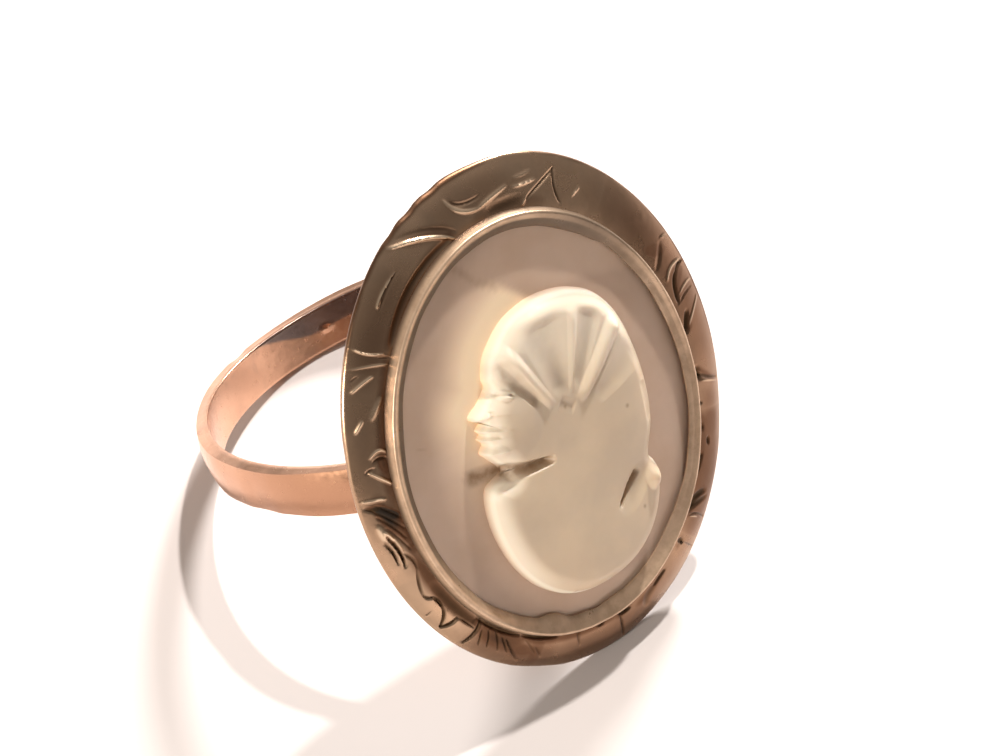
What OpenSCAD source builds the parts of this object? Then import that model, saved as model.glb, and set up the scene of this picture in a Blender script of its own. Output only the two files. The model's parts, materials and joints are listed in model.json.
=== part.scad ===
// Cameo ring: a narrow band, an oval dished border plate and a closed bezel, soldered into one
// mount, with a carved shell cameo held under the bezel's lip. It lies on its side, resting on
// the lower tip of the border plate and the back edge of the band.

/* [Finger band] */
// Inner diameter of the band
finger_d = 17; // [15:0.25:20]
// Width of the band along the finger
band_w = 1.95; // [1.5:0.05:3]
// Thickness of the band at its two edges
band_edge_t = 0.4; // [0.3:0.05:0.5]
// Thickness of the band along its middle
band_mid_t = 0.65; // [0.6:0.05:1]

/* [Border plate] */
// Length of the oval border plate
plate_long = 20.7; // [20.4:0.1:24]
// Width of the oval border plate
plate_short = 17; // [16.6:0.1:19]
// Thickness of the plate's sheet
plate_t = 0.3; // [0.2:0.05:0.4]
// Rise of the plate's dished front from its outer edge to where it is level
plate_rise = 0.5; // [0.35:0.05:0.6]
// Height of the plate's outer edge over the top of the finger hole
edge_lift = 0.2; // [0.15:0.05:0.5]

/* [Bezel] */
// Length of the bezel over its ridge
bezel_long = 17; // [16:0.1:17.2]
// Width of the bezel over its ridge
bezel_short = 13.8; // [13:0.1:14]
// Thickness of the bezel's wall
bezel_wall = 0.25; // [0.2:0.05:0.35]
// Outward flare of the bezel's wall below its ridge
bezel_flare = 0.1; // [0:0.05:0.15]
// Height of the bezel's ridge over the plate's outer edge
ridge_z = 0.95; // [0.9:0.05:1.1]
// Width of the lip that is turned in over the stone
lip_w = 0.63; // [0.5:0.01:0.75]
// Thickness of the lip
lip_t = 0.2; // [0.15:0.05:0.25]
// Drop of the lip from its ridge to its inner edge
lip_drop = 0.2; // [0.1:0.05:0.25]
// Thickness of the bezel's closed back
floor_t = 0.25; // [0.2:0.05:0.3]
// Thickness of the band that is left under the bezel's closed back
seat_t = 0.05; // [0.05:0.01:0.1]
// Sideways offset of the bezel from the middle of the plate
bezel_dx = -0.2; // [-0.25:0.05:0.25]
// Lengthwise offset of the bezel from the middle of the plate
bezel_dy = -0.2; // [-0.25:0.05:0.25]

/* [Cameo] */
// Gap between the shell and the metal round it
stone_gap = 0.04; // [0.03:0.01:0.06]
// Rise of the shell's ground from under the lip to the middle
ground_dome = 0.15; // [0:0.05:0.3]
// Height of the carved bust over the ground
relief_h = 1.15; // [0.8:0.05:1.4]
// Width over which the bust's outline rounds down to the ground
relief_edge_w = 0.8; // [0.5:0.05:1]
// Lean of the bust from the long axis of the stone, in degrees
bust_lean = 20; // [0:1:25]

/* [Hidden] */
$fn = 96;
gold = [0.78, 0.55, 0.42];
shell = [0.9, 0.83, 0.76];
eps = 0.01;

// Points round the head's ovals, across its border and round its rounded edges
head_spokes = 96;
plate_steps = 5;
edge_steps = 5;
// The carved front's lines of points: spokes from the middle, rings round the bust and the ground
carve_spokes = 120;
bust_rings = 22;
ground_rings = 4;
// Share of the relief that stands at the bust's rounded edge, the rest rising to its crown, and
// how far in the crown begins, as a share of the opening's half width
edge_share = 0.68;
crown_reach = 0.42;

// Places worked out from the sizes above: heights are over the plate's outer edge
finger_r = finger_d / 2;
head_n = finger_r + edge_lift;
back_z = seat_t - edge_lift;
floor_z = back_z + floor_t;
rim_r = plate_t / 2;
plate_reach = (plate_long - bezel_long) / 2 - bezel_flare;
rim_angle = atan2(2 * plate_rise, plate_reach);
rim_z = -rim_r * cos(rim_angle);
lip_r = lip_t / 2;
lip_angle = atan2(lip_drop, lip_w - lip_t);
lip_in_z = ridge_z - lip_drop;
stone_z0 = floor_z + stone_gap;
stone_edge_z = lip_in_z - lip_t - stone_gap;
stone_a = bezel_long / 2 + bezel_flare - bezel_wall - stone_gap;
stone_b = bezel_short / 2 + bezel_flare - bezel_wall - stone_gap;
open_b = bezel_short / 2 - lip_w;
band_crown = band_mid_t - band_edge_t;
band_arc_r = (pow(band_w / 2, 2) + pow(band_crown, 2)) / (2 * band_crown);

// Rest on a flat surface: the plate's rounded tip and the band's sharp back edge touch it
tip_n = head_n + rim_z;
tip_w = plate_long / 2 - rim_r;
back_n = finger_r + band_edge_t;
rest_run = tip_n + back_n;
rest_rise = tip_w - band_w / 2;
rest_tilt = atan2(rest_rise, rest_run) + asin(rim_r / norm([rest_run, rest_rise]));
rest_z = back_n * sin(rest_tilt) + band_w / 2 * cos(rest_tilt);

// Half the difference between how far the ring reaches back and forward, to centre it
front_tip = tip_n * cos(rest_tilt) + tip_w * sin(rest_tilt) + rim_r;
front_ridge = (head_n + ridge_z - lip_r) * cos(rest_tilt) + lip_r
            + (bezel_long / 2 - lip_r - bezel_dy) * sin(rest_tilt);
back_crown = (back_n + band_crown - band_arc_r) * cos(rest_tilt) + band_arc_r;
back_corner = back_n * cos(rest_tilt) + band_w / 2 * sin(rest_tilt);
back_reach = band_arc_r * sin(rest_tilt) < band_w / 2 ? back_crown : back_corner;
centre_y = (max(front_tip, front_ridge) - back_reach) / 2;

// Distance from the middle of an oval of half sizes a and b to its outline, at angle t from b
function oval_reach(a, b, t) = a * b / norm([a * cos(t), b * sin(t)]);

// Points of a round edge of radius r about a centre [out, height], from angle q1 round to q2:
// [share, out, height]
function round_edge(share, centre, r, q1, q2) = [for (k = [0 : edge_steps])
    let (q = q1 + (q2 - q1) * k / edge_steps)
    [share, centre.x + r * cos(q), centre.y + r * sin(q)]];
// The dished front of the border, from its rim, where share is 0, to the bezel, where it is 1
function plate_front(share) =
    let (rim_out = rim_r * (sin(rim_angle) - 1))
    [share, (1 - share) * rim_out, plate_rise * share * (2 - share)];
// The back of the border, one sheet's thickness behind its front
function plate_back(share) =
    let (q = rim_angle * (1 - share))
    plate_front(share) - plate_t * [0, sin(q), cos(q)];

// The head's surface as rings of points, from the edge of the closed back, under and over the
// border, over the lip and down to the cup's floor. Share 0 is the plate's outline and share 1
// the foot of the bezel's wall, and out is how far outside that the ring lies:
// [share, out, height]
ridge = [-bezel_flare - lip_r, ridge_z - lip_r];
lip_edge = [-bezel_flare - lip_w + lip_r, lip_in_z - lip_r];
lip_under_z = lip_edge.y - lip_r * cos(lip_angle)
            + (-bezel_wall - lip_edge.x - lip_r * sin(lip_angle)) * tan(lip_angle);
head_rings = concat(
    [[1, 0, back_z]],
    [for (k = [plate_steps : -1 : 1]) plate_back(k / plate_steps)],
    round_edge(0, [-rim_r, rim_z], rim_r, -90 - rim_angle, 90 - rim_angle),
    [for (k = [1 : plate_steps]) plate_front(k / plate_steps)],
    round_edge(1, ridge, lip_r, 0, 90 + lip_angle),
    round_edge(1, lip_edge, lip_r, 90 + lip_angle, 270 + lip_angle),
    [[1, -bezel_wall, lip_under_z], [1, -bezel_wall, floor_z]]);

// The bust's outline from the top of the hair clockwise, as shares of the opening's half width:
// [across the head, up the head]
bust_outline = [
    [0.03, 0.835], [0.18, 0.825], [0.335, 0.775], [0.48, 0.645], [0.605, 0.42], [0.69, 0.18],
    [0.725, -0.06], [0.7, -0.27], [0.76, -0.35], [0.785, -0.52], [0.7, -0.76], [0.53, -0.95],
    [0.32, -1.065], [0.09, -1.075], [-0.13, -0.98], [-0.3, -0.82], [-0.42, -0.62], [-0.485, -0.42],
    [-0.48, -0.29], [-0.38, -0.205], [-0.47, -0.12], [-0.515, -0.075], [-0.495, -0.02],
    [-0.535, 0.01], [-0.515, 0.04], [-0.54, 0.07], [-0.51, 0.11], [-0.585, 0.155], [-0.515, 0.235],
    [-0.47, 0.32], [-0.49, 0.375], [-0.48, 0.48], [-0.435, 0.57], [-0.33, 0.7], [-0.15, 0.8],
];
// Soft raised forms on the bust. Places and half sizes are shares of the opening's half width,
// the rise is a share of the relief: [across, up, half_across, half_up, rise]
bust_forms = [
    [-0.34, 0.13, 0.17, 0.22, 0.1],
    [-0.4, 0.44, 0.13, 0.12, 0.06],
    [-0.47, 0.335, 0.07, 0.04, 0.1],
    [-0.475, -0.06, 0.08, 0.06, 0.1],
    [0.3, -0.75, 0.4, 0.3, 0.1],
    [0.4, 0.05, 0.32, 0.4, 0.1],
];
// Creases between the locks, under the chin and behind the shoulder, and ridges of the locks,
// whose depth is below zero: [across_1, up_1, across_2, up_2, half_width, depth]
bust_creases = [
    [-0.42, 0.6, -0.07, 0.18, 0.1, -0.14],
    [0.14, 0.74, 0, 0.22, 0.07, -0.12],
    [0.38, 0.64, 0.13, 0.22, 0.09, -0.16],
    [-0.11, 0.7, -0.03, 0.26, 0.13, 0.16],
    [0.25, 0.7, 0.07, 0.26, 0.1, 0.15],
    [0.5, 0.45, 0.2, 0.22, 0.1, 0.08],
    [-0.5, -0.245, -0.1, -0.165, 0.075, 0.45],
    [0.56, -0.36, 0.39, -0.52, 0.08, 0.35],
];

// A closed outline through the given points, with a point of its smooth curve in between
function smooth_outline(line) =
    let (n = len(line))
    [for (i = [0 : n - 1]) each [
        line[i],
        (9 * (line[i] + line[(i + 1) % n]) - line[(i + n - 1) % n] - line[(i + 2) % n]) / 16]];
// How far point p is from the straight line between points a and b
function line_gap(p, a, b) =
    let (ab = b - a, k = max(0, min(1, (p - a) * ab / (ab * ab)))) norm(p - a - k * ab);
// How many of the outline's edges lie beyond point p on one side: an odd number is inside
function edges_beyond(p, line) = len([
    for (i = [0 : len(line) - 1])
        let (a = line[i], b = line[(i + 1) % len(line)])
        if ((a.y > p.y) != (b.y > p.y) && p.x < a.x + (b.x - a.x) * (p.y - a.y) / (b.y - a.y)) i
]);
// How deep point p lies inside a closed outline, or 0 outside it
function depth_inside(p, line) = edges_beyond(p, line) % 2 == 0 ? 0
    : min([for (i = [0 : len(line) - 1]) line_gap(p, line[i], line[(i + 1) % len(line)])]);
// Furthest crossing of an outline by the ray from the origin through point p
function ray_reach(p, line) = max([
    for (i = [0 : len(line) - 1])
        let (a = line[i], b = line[(i + 1) % len(line)], sa = cross(p, a), sb = cross(p, b))
        if ((sa > 0) != (sb > 0)) let (q = a + (b - a) * sa / (sa - sb)) if (q * p > 0) norm(q)
]);
function sum(list) = len(list) == 0 ? 0 : [for (x = list) 1] * list;
// A round profile that is 0 at the edge, where x is 0, and level at its top, where x is 1
function rounded(x) = let (y = 1 - max(0, min(1, x))) sqrt(1 - y * y);
// A soft bump that is 1 where x is 0, and 0 from where x is 1
function bump(x) = pow(max(0, 1 - x * x), 1.5);
bust_line = smooth_outline(bust_outline);
// Height of the bust over the ground, at point p in shares of the opening's half width
function bust_height(p) =
    let (inside = depth_inside(p, bust_line))
    inside == 0 ? 0 : relief_h * rounded(inside * open_b / relief_edge_w) * (
        edge_share + (1 - edge_share) * rounded(inside / crown_reach)
        + sum([for (f = bust_forms) f[4] * bump(norm([(p.x - f[0]) / f[2], (p.y - f[1]) / f[3]]))])
        - sum([for (c = bust_creases)
            c[5] * bump(line_gap(p, [c[0], c[1]], [c[2], c[3]]) / c[4])]));

// A closed solid through rings of points, closed at both ends to a point
module lathe(rings, first, last) {
    spokes = len(rings[0]);
    count = len(rings);
    corner = function (ring, spoke) ring * spokes + spoke % spokes;
    polyhedron(
        points = concat([for (ring = rings) each ring], [first, last]),
        faces = concat(
            [for (i = [0 : spokes - 1]) [corner(0, i), corner(0, i + 1), count * spokes]],
            [for (j = [0 : count - 2], i = [0 : spokes - 1])
                [corner(j, i), corner(j + 1, i + 1), corner(j, i + 1)]],
            [for (j = [0 : count - 2], i = [0 : spokes - 1])
                [corner(j, i), corner(j + 1, i), corner(j + 1, i + 1)]],
            [for (i = [0 : spokes - 1])
                [corner(count - 1, i + 1), corner(count - 1, i), count * spokes + 1]]));
}

// Lays the ring on its side and puts the middle of its footprint at the origin
module at_rest() {
    translate([0, centre_y, rest_z]) rotate([-rest_tilt, 0, 0]) children();
}

// Puts what is built face up over the plate's outer edge onto the front of the ring
module on_head() {
    translate([0, -head_n, 0]) rotate([90, 0, 0]) children();
}

module band() {
    rotate_extrude() intersection() {
        translate([finger_r, -band_w / 2]) square([band_mid_t + eps, band_w]);
        translate([finger_r + band_mid_t - band_arc_r, 0]) circle(band_arc_r);
    }
}

// The band is cut level where the bezel's closed back is soldered onto it
module seated_band() {
    size = plate_long;
    difference() {
        band();
        on_head() translate([-size / 2, -size / 2, back_z + floor_t / 2]) cube(size);
    }
}

// The border plate and the bezel's cup with its lip, between ovals of the plate's and of the
// bezel's own centre and size
module head() {
    plate_half = [plate_short, plate_long] / 2;
    wall_half = [bezel_short / 2 + bezel_flare, bezel_long / 2 + bezel_flare];
    middle = [bezel_dx, bezel_dy];
    rings = [for (ring = head_rings) [for (i = [0 : head_spokes - 1])
        let (t = 360 * i / head_spokes,
             half = (1 - ring[0]) * plate_half + ring[0] * wall_half + ring[1] * [1, 1],
             place = ring[0] * middle)
        [place.x + half.x * cos(t), place.y + half.y * sin(t), ring[2]]]];
    lathe(rings, [middle.x, middle.y, back_z], [middle.x, middle.y, floor_z]);
}

module ring_mount() {
    color(gold) at_rest() {
        seated_band();
        on_head() head();
    }
}

// The shell: a flat back and edge, and a front that rises to the domed ground and the bust.
// Its rings of points follow the stone's edge and then the bust's outline, which leans.
module carved_shell() {
    spokes = [for (i = [0 : carve_spokes - 1]) 360 * i / carve_spokes];
    ring_places = concat(
        [for (j = [ground_rings : -1 : 1]) [1, j / ground_rings]],
        [for (j = [bust_rings : -1 : 1]) [1 - pow(1 - j / bust_rings, 1.5), 0]]);
    turn = function (t) [cos(t + bust_lean), sin(t + bust_lean)];
    ground = function (r) ground_dome * max(0, 1 - pow(r / open_b, 2));
    front = [for (place = ring_places) [for (t = spokes)
        let (bust_r = open_b * ray_reach(turn(t), bust_line),
             edge_r = oval_reach(stone_a, stone_b, t),
             r = place[0] * bust_r + place[1] * (edge_r - bust_r),
             bust = place[1] == 0 ? bust_height(r / open_b * turn(t)) : 0,
             z = stone_edge_z + ground(r * stone_b / edge_r) + bust)
        [r * cos(t), r * sin(t), z]]];
    back = [for (p = front[0]) [p.x, p.y, stone_z0]];
    top_z = stone_edge_z + ground_dome + bust_height([0, 0]);
    lathe(concat([back], front), [0, 0, stone_z0], [0, 0, top_z]);
}

module cameo() {
    color(shell) at_rest() on_head() translate([bezel_dx, bezel_dy, 0]) carved_shell();
}

ring_mount();
cameo();
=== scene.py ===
# %% [markdown]
# # A cameo ring lying on its side
# The ring is a narrow rose-gold band, an oval engraved border, a bezel and a carved shell.
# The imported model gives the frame: it says where the finger hole is and how the ring lies.
# The looks are built round it, so the first thing to do is to load it and keep its box.

# %% Load the ring's frame
import json
import math

import bmesh
import bpy
import numpy as np
from mathutils import Matrix, Vector


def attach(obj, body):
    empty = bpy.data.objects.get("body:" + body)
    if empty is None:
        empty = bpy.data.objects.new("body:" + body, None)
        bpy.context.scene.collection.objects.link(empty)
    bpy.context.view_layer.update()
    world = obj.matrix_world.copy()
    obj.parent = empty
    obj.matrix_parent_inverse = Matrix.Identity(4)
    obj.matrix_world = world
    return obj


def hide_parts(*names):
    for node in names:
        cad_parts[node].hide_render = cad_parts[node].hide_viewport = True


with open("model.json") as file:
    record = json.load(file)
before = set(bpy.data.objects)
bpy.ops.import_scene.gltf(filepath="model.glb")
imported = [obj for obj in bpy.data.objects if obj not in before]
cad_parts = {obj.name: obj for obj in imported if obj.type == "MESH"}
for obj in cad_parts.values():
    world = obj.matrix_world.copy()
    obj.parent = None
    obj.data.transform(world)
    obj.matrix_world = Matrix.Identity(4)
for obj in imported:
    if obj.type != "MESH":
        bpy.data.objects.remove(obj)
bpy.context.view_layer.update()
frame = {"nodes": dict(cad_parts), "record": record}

MM = 0.001

# %% [markdown]
# ## A frame of the ring's own
# A goldsmith works on the ring with its face up. The finger hole's axis is known from the
# record, so one matrix lays a piece that is modelled face up, round the middle of the finger
# hole, on its side. In that face-up frame X runs across the head, Y along the finger, and Z out
# from the finger. Using it keeps every piece simple, and the matrix is applied at the end.

# %% The face-up frame and how it lies
hole = frame["record"]["mounts"][0]
finger_axis = Vector(hole["axis"]).normalized()
across_axis = Vector((1, 0, 0))
face_axis = across_axis.cross(finger_axis)
FINGER_R = hole["dims"]["r_mm"]
BAND_W = hole["dims"]["length_mm"]
lay_down = Matrix((across_axis, finger_axis, face_axis)).transposed().to_4x4()
lay_down.translation = Vector(hole["pos_m"])
stand_up = lay_down.inverted()
print("finger hole:", FINGER_R, "mm in radius, band", BAND_W, "mm wide")

# %% [markdown]
# The head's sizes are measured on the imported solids, so the looks keep to them. Of the mount only
# what lies high over the finger is measured, because that is the head without the band.

# %% Measure the head
HEAD_FROM = 0.9 * FINGER_R


def face_up_box(node, above=-math.inf):
    """Lowest and highest corner, in mm and face up, of what a CAD node has above a height."""
    co = np.array([stand_up @ v.co for v in frame["nodes"][node].data.vertices]) / MM
    co = co[co[:, 2] > above]
    return co.min(0), co.max(0)


plate_lo, plate_hi = face_up_box("ring_mount", above=HEAD_FROM)
stone_lo, stone_hi = face_up_box("cameo")
PLATE_HALF = plate_hi[:2]
HEAD_MIDDLE = (stone_lo[:2] + stone_hi[:2]) / 2
STONE_HALF = (stone_hi[:2] - stone_lo[:2]) / 2
print("plate half sizes", PLATE_HALF.round(3), "stone half sizes", STONE_HALF.round(3))
print("middle of the stone", HEAD_MIDDLE.round(3), "stone's back", stone_lo[2].round(3))

# %% [markdown]
# ## The camera
# The photo looks down on the ring from its front left. The angles, the distance and the lens are
# set first, because every later look at the work needs them. The camera turns to its aim with
# to_track_quat, which avoids working out three angles by hand.

# %% Camera
CAMERA_AZIMUTH = math.radians(-40.705)
CAMERA_ELEVATION = math.radians(48.245)
CAMERA_ROLL = math.radians(-0.116)
CAMERA_AIM = Vector((-1.06, -4.45, 11.18)) * MM
CAMERA_DISTANCE = 98.35 * MM
SENSOR_WIDTH = 36
LENS = 94.88


def direction(azimuth, elevation):
    """Unit vector towards a compass angle round the ring: azimuth 0 is the front, -Y."""
    flat = math.cos(elevation)
    return Vector((math.sin(azimuth) * flat, -math.cos(azimuth) * flat, math.sin(elevation)))


camera_data = bpy.data.cameras.new("camera")
camera_data.sensor_width = SENSOR_WIDTH
camera_data.lens = LENS
camera_data.clip_start = 1 * MM
camera = bpy.data.objects.new("camera", camera_data)
bpy.context.scene.collection.objects.link(camera)
camera_back = direction(CAMERA_AZIMUTH, CAMERA_ELEVATION)
camera.location = CAMERA_AIM + camera_back * CAMERA_DISTANCE
turn = (-camera_back).to_track_quat("-Z", "Y").to_matrix() @ Matrix.Rotation(CAMERA_ROLL, 3, "Z")
camera.rotation_euler = turn.to_euler()
bpy.context.scene.camera = camera
print("camera at", [round(value / MM, 2) for value in camera.location], "mm")

# %% [markdown]
# ## Small helpers
# Operators act on whatever is selected and active, so each piece starts from nothing selected.
# A finished piece is laid down with the matrix, its place goes into its mesh, and it rides on
# the ring's one body.

# %% Pick, edit and finish a piece
SMOOTH_ANGLE = math.radians(50)


def start_piece():
    """Leaves nothing selected and object mode on."""
    if bpy.context.mode != "OBJECT":
        bpy.ops.object.mode_set(mode="OBJECT")
    bpy.ops.object.select_all(action="DESELECT")


def pick_piece(piece):
    """Selects one piece alone and makes it the active one."""
    start_piece()
    piece.select_set(True)
    bpy.context.view_layer.objects.active = piece


def edit_piece(piece, action="SELECT"):
    """Opens one piece in edit mode, with all of it selected unless told otherwise."""
    pick_piece(piece)
    bpy.ops.object.mode_set(mode="EDIT")
    bpy.ops.mesh.select_all(action=action)


def finish_piece(piece, slot, *nodes):
    """Lays a face-up piece down, applies its place, and hides the CAD nodes that it replaces."""
    pick_piece(piece)
    piece.matrix_world = lay_down
    bpy.ops.object.transform_apply(location=True, rotation=True, scale=True)
    bpy.ops.object.shade_smooth_by_angle(angle=SMOOTH_ANGLE)
    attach(piece, "root")
    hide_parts(*nodes)
    triangles = sum(len(face.vertices) - 2 for face in piece.data.polygons)
    print(piece.name, "has", len(piece.data.vertices), "vertices and", triangles, "triangles")


# %% [markdown]
# Hand work leaves no line quite straight, and sculpting it by brush would differ at every run. So
# the points of a mesh are read as a table of rows, moved by soft curves, and put back. Whatever
# would sink into the floor is lifted, because the ring lies on it. The same curves tell each
# point how sooty or worn it is and where shade or glow is painted, and the materials read that by
# name.

# %% Read, move and mark the points of a mesh
def vertex_places(mesh):
    """The mesh's vertices as an array of rows."""
    co = np.zeros(len(mesh.vertices) * 3)
    mesh.vertices.foreach_get("co", co)
    return co.reshape(-1, 3)


def rest_on_floor(places):
    """Lifts, in mm and face up, whatever would sink into the floor once the ring lies down."""
    up = np.array(stand_up.to_3x3() @ Vector((0, 0, 1)))
    height = places @ up + lay_down.translation.z / MM
    return places + np.clip(-height, 0, None)[:, None] * up


def set_vertex_places(mesh, places):
    """Puts points that are face up and in mm back into the mesh, none under the floor."""
    mesh.vertices.foreach_set("co", (rest_on_floor(places) * MM).ravel())
    mesh.update()


def add_attribute(mesh, name, values):
    """A number for each vertex that the material reads by name."""
    attribute = mesh.attributes.new(name, "FLOAT", "POINT")
    attribute.data.foreach_set("value", np.asarray(values, np.float32))


print("the finger's middle lies", round(lay_down.translation.z / MM, 2), "mm over the floor")

# %% [markdown]
# The soft curves are the same few for every piece: a step, a stretch, a bump and some waves. A
# random noise would look as good, but these can be put where the photo has them.

# %% Soft curves
def smooth_step(low, high, value):
    """0 before low, 1 from high on, and an S between them; it falls where low is the larger."""
    share = np.clip((value - low) / (high - low), 0, 1)
    return share * share * (3 - 2 * share)


def stretch(value, rise_from, rise_to, fall_from, fall_to):
    """1 on a stretch, fading to 0 at both of its ends."""
    return smooth_step(rise_from, rise_to, value) * smooth_step(fall_to, fall_from, value)


def bump(x):
    """A soft bump that is 1 where x is 0 and 0 from where x is 1."""
    return np.clip(1 - x * x, 0, None) ** 1.5


def turn_bump(degrees, middle, half):
    """A soft bump on a circle, round a middle angle and with a half length, in degrees."""
    return bump(((degrees - middle + 180) % 360 - 180) / half)


def waves(degrees, *rows):
    """Waves round a circle, summed: each row is a height, how many there are, and a start."""
    return sum(high * np.sin(np.radians(degrees * count + start)) for high, count, start in rows)


print("a soft bump is", round(float(bump(0.5)), 2), "high half way out")

# %% [markdown]
# ## The band
# The band is drawn wire with a low crown, bent round and soldered under the head. Its section is
# a piece of a circle cut flat at the finger and at both sides, so it is a filled circle that
# three bisects cut. A torus primitive would have the wrong section. Bisect moves points that lie
# near its plane, so it gets a threshold far smaller than the ring's details.

# %% The band's section
BAND_MID_T = 0.64
BAND_CROWN = 0.11
SECTION_POINTS = 400
CUT_THRESHOLD = 0.0005
half_width = BAND_W / 2
band_arc_r = (half_width**2 + BAND_CROWN**2) / (2 * BAND_CROWN)


def cut_away(place, out):
    """Cuts the open mesh at a plane, drops what lies beyond it and closes the cut."""
    bpy.ops.mesh.select_all(action="SELECT")
    bpy.ops.mesh.bisect(plane_co=Vector(place) * MM, plane_no=out, use_fill=True,
                        clear_outer=True, threshold=CUT_THRESHOLD * MM)


start_piece()
bpy.ops.mesh.primitive_circle_add(
    vertices=SECTION_POINTS, radius=band_arc_r * MM, fill_type="NGON",
    location=((FINGER_R + BAND_MID_T - band_arc_r) * MM, 0, 0))
band = bpy.context.object
band.name = "finger_band"
bpy.ops.object.transform_apply(location=True)
bpy.ops.object.mode_set(mode="EDIT")
cut_away((FINGER_R, 0, 0), (-1, 0, 0))
cut_away((0, half_width, 0), (0, 1, 0))
cut_away((0, -half_width, 0), (0, -1, 0))
print("the crown is an arc of", round(band_arc_r, 2), "mm in radius")

# %% [markdown]
# A file has taken off the outer corners, which a bevel of one segment does, and a finer bevel
# takes the sharpness off the rest. The bore's straight edge is subdivided, so that the band's
# inside has points for a bead of solder and for soot. Spin then carries the outline round the
# finger. The fill goes first, because spin would leave a copy of it inside at every step.

# %% Bevel the section's corners and spin it
BAND_CHAMFER = 0.27
BAND_CORNER = 0.035
TOUCH = 0.002
OVER_BORE = 0.2
CHAMFER_OVER_BORE = 0.45
CHAMFER_MARGIN = 1.02
BORE_CUTS = 20
BAND_STEPS = 320
BAND_WELD = 0.003


def select_vertices(obj, wanted):
    """Selects the vertices, in edit mode, whose place passes the test."""
    edit = bmesh.from_edit_mesh(obj.data)
    for vertex in edit.verts:
        vertex.select = wanted(vertex.co / MM)
    edit.select_flush_mode()
    bmesh.update_edit_mesh(obj.data)
    return sum(vertex.select for vertex in edit.verts)


def on_side(co):
    """Whether a point lies on one of the band's two flat sides."""
    return abs(abs(co.y) - half_width) < TOUCH


def on_chamfer(co):
    """Whether a point lies where the file has been, clear of the flat side."""
    in_by = half_width - abs(co.y)
    return 0 < in_by < BAND_CHAMFER * CHAMFER_MARGIN and co.x > FINGER_R + CHAMFER_OVER_BORE


bpy.ops.mesh.select_mode(type="VERT")
corners = select_vertices(band, lambda co: on_side(co) and co.x > FINGER_R + OVER_BORE)
bpy.ops.mesh.bevel(offset=BAND_CHAMFER * MM, segments=1, affect="VERTICES")
corners += select_vertices(band, lambda co: on_side(co) or on_chamfer(co))
bpy.ops.mesh.bevel(offset=BAND_CORNER * MM, segments=2, affect="VERTICES")
bore_ends = select_vertices(
    band, lambda co: abs(co.x - FINGER_R) < TOUCH and abs(co.y) < half_width - TOUCH)
bpy.ops.mesh.subdivide(number_cuts=BORE_CUTS)
bpy.ops.mesh.select_all(action="SELECT")
bpy.ops.mesh.delete(type="ONLY_FACE")
bpy.ops.mesh.select_all(action="SELECT")
bpy.ops.mesh.spin(steps=BAND_STEPS, angle=2 * math.pi, center=(0, 0, 0), axis=(0, 1, 0))
bpy.ops.mesh.select_all(action="SELECT")
bpy.ops.mesh.remove_doubles(threshold=BAND_WELD * MM)
bpy.ops.mesh.normals_make_consistent(inside=False)
bpy.ops.object.mode_set(mode="OBJECT")
print("corners bevelled:", corners, "bore ends:", bore_ends)
print("band vertices:", len(band.data.vertices))

# %% [markdown]
# The real band was filed by hand and has been worn. Its edges waver, and its near side is
# narrower and bent up along the finger. Slow waves and a table of soft bumps do that. They fade
# towards the inside, because the bore stays round for the finger. Turns are counted from the
# head, and the near side is at the negative ones.

# %% Make the band uneven by hand
THICKNESS_WAVES = [(0.012, 5, 40), (0.01, 13, 0)]
WIDTH_WAVES = [(0.012, 7, 10)]
WIDER_OUTSIDE = (0.1, 0.9)
BAND_TABLE = [
    # turn from the head in degrees, half length in degrees, outward, wider, along the finger
    (-62, 9, 0.02, 0.03, 0.0),
    (-80, 6, -0.05, -0.03, 0.0),
    (-98, 8, 0.03, 0.02, 0.0),
    (-105, 75, 0.0, -0.12, 0.16),
    (-128, 14, -0.03, -0.03, 0.0),
    (-158, 4, -0.04, -0.06, 0.0),
    (60, 10, 0.02, 0.03, 0.0),
    (118, 16, -0.03, -0.03, 0.0),
    (160, 14, 0.03, 0.02, 0.0),
]
places = vertex_places(band.data) / MM
radius = np.hypot(places[:, 0], places[:, 2])
turned = np.degrees(np.arctan2(places[:, 0], places[:, 2]))
round_turn = turned % 360
outside = np.clip((radius - FINGER_R) / BAND_MID_T, 0, 1)
grow = waves(turned, *THICKNESS_WAVES)
lift = waves(turned, *WIDTH_WAVES)
sideways = np.zeros(len(turned))
for middle, half, outward, wider, along in BAND_TABLE:
    near = turn_bump(turned, middle, half)
    grow = grow + outward * near
    lift = lift + wider * near
    sideways = sideways + along * near
new_radius = radius + outside * grow
places[:, [0, 2]] *= (new_radius / radius)[:, None]
to_side = np.clip(places[:, 1] / half_width, -1, 1)
places[:, 1] += lift * to_side * smooth_step(*WIDER_OUTSIDE, outside)
print("the band's outside lies", new_radius.max().round(3), "mm out at most")

# %% [markdown]
# Inside the far half sits a small bead of solder, and next to it a strip that soldering has
# left dark. The bead is a round bump of the inner wall. The strip is only a colour, so each
# point is told how sooty it is: the edge of the soot waves a little, and moves off the band as
# the turn grows. A second number paints shade on the gold: low on the near side and inside
# the far one.

# %% A bead of solder, a sooty strip and painted shade
BORE_SHARE = 0.05
# the bead: its turn in degrees, then its place along the finger, its reach and its rise in mm
BEAD_TURN = 173
BEAD_ALONG = -0.04
BEAD_REACH = 0.2
BEAD_RISE = 0.1
# turns in degrees where soot or painted shade comes, is full, starts to fade and is gone
SOOT_TURNS = (90, 120, 200, 230)
SHADE_NEAR_TURNS = (-96, -62, -50, -30)
SHADE_FAR_TURNS = (140, 160, 185, 205)
# the lower edge of the soot along the finger, in mm, and the turns over which it leaves the band
SOOT_EDGE = -0.03
SOOT_WAVES = [(0.03, 16, 0)]
SOOT_BLUR = (-0.04, 0.08)
SOOT_LEAVES = (176, 200)
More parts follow.
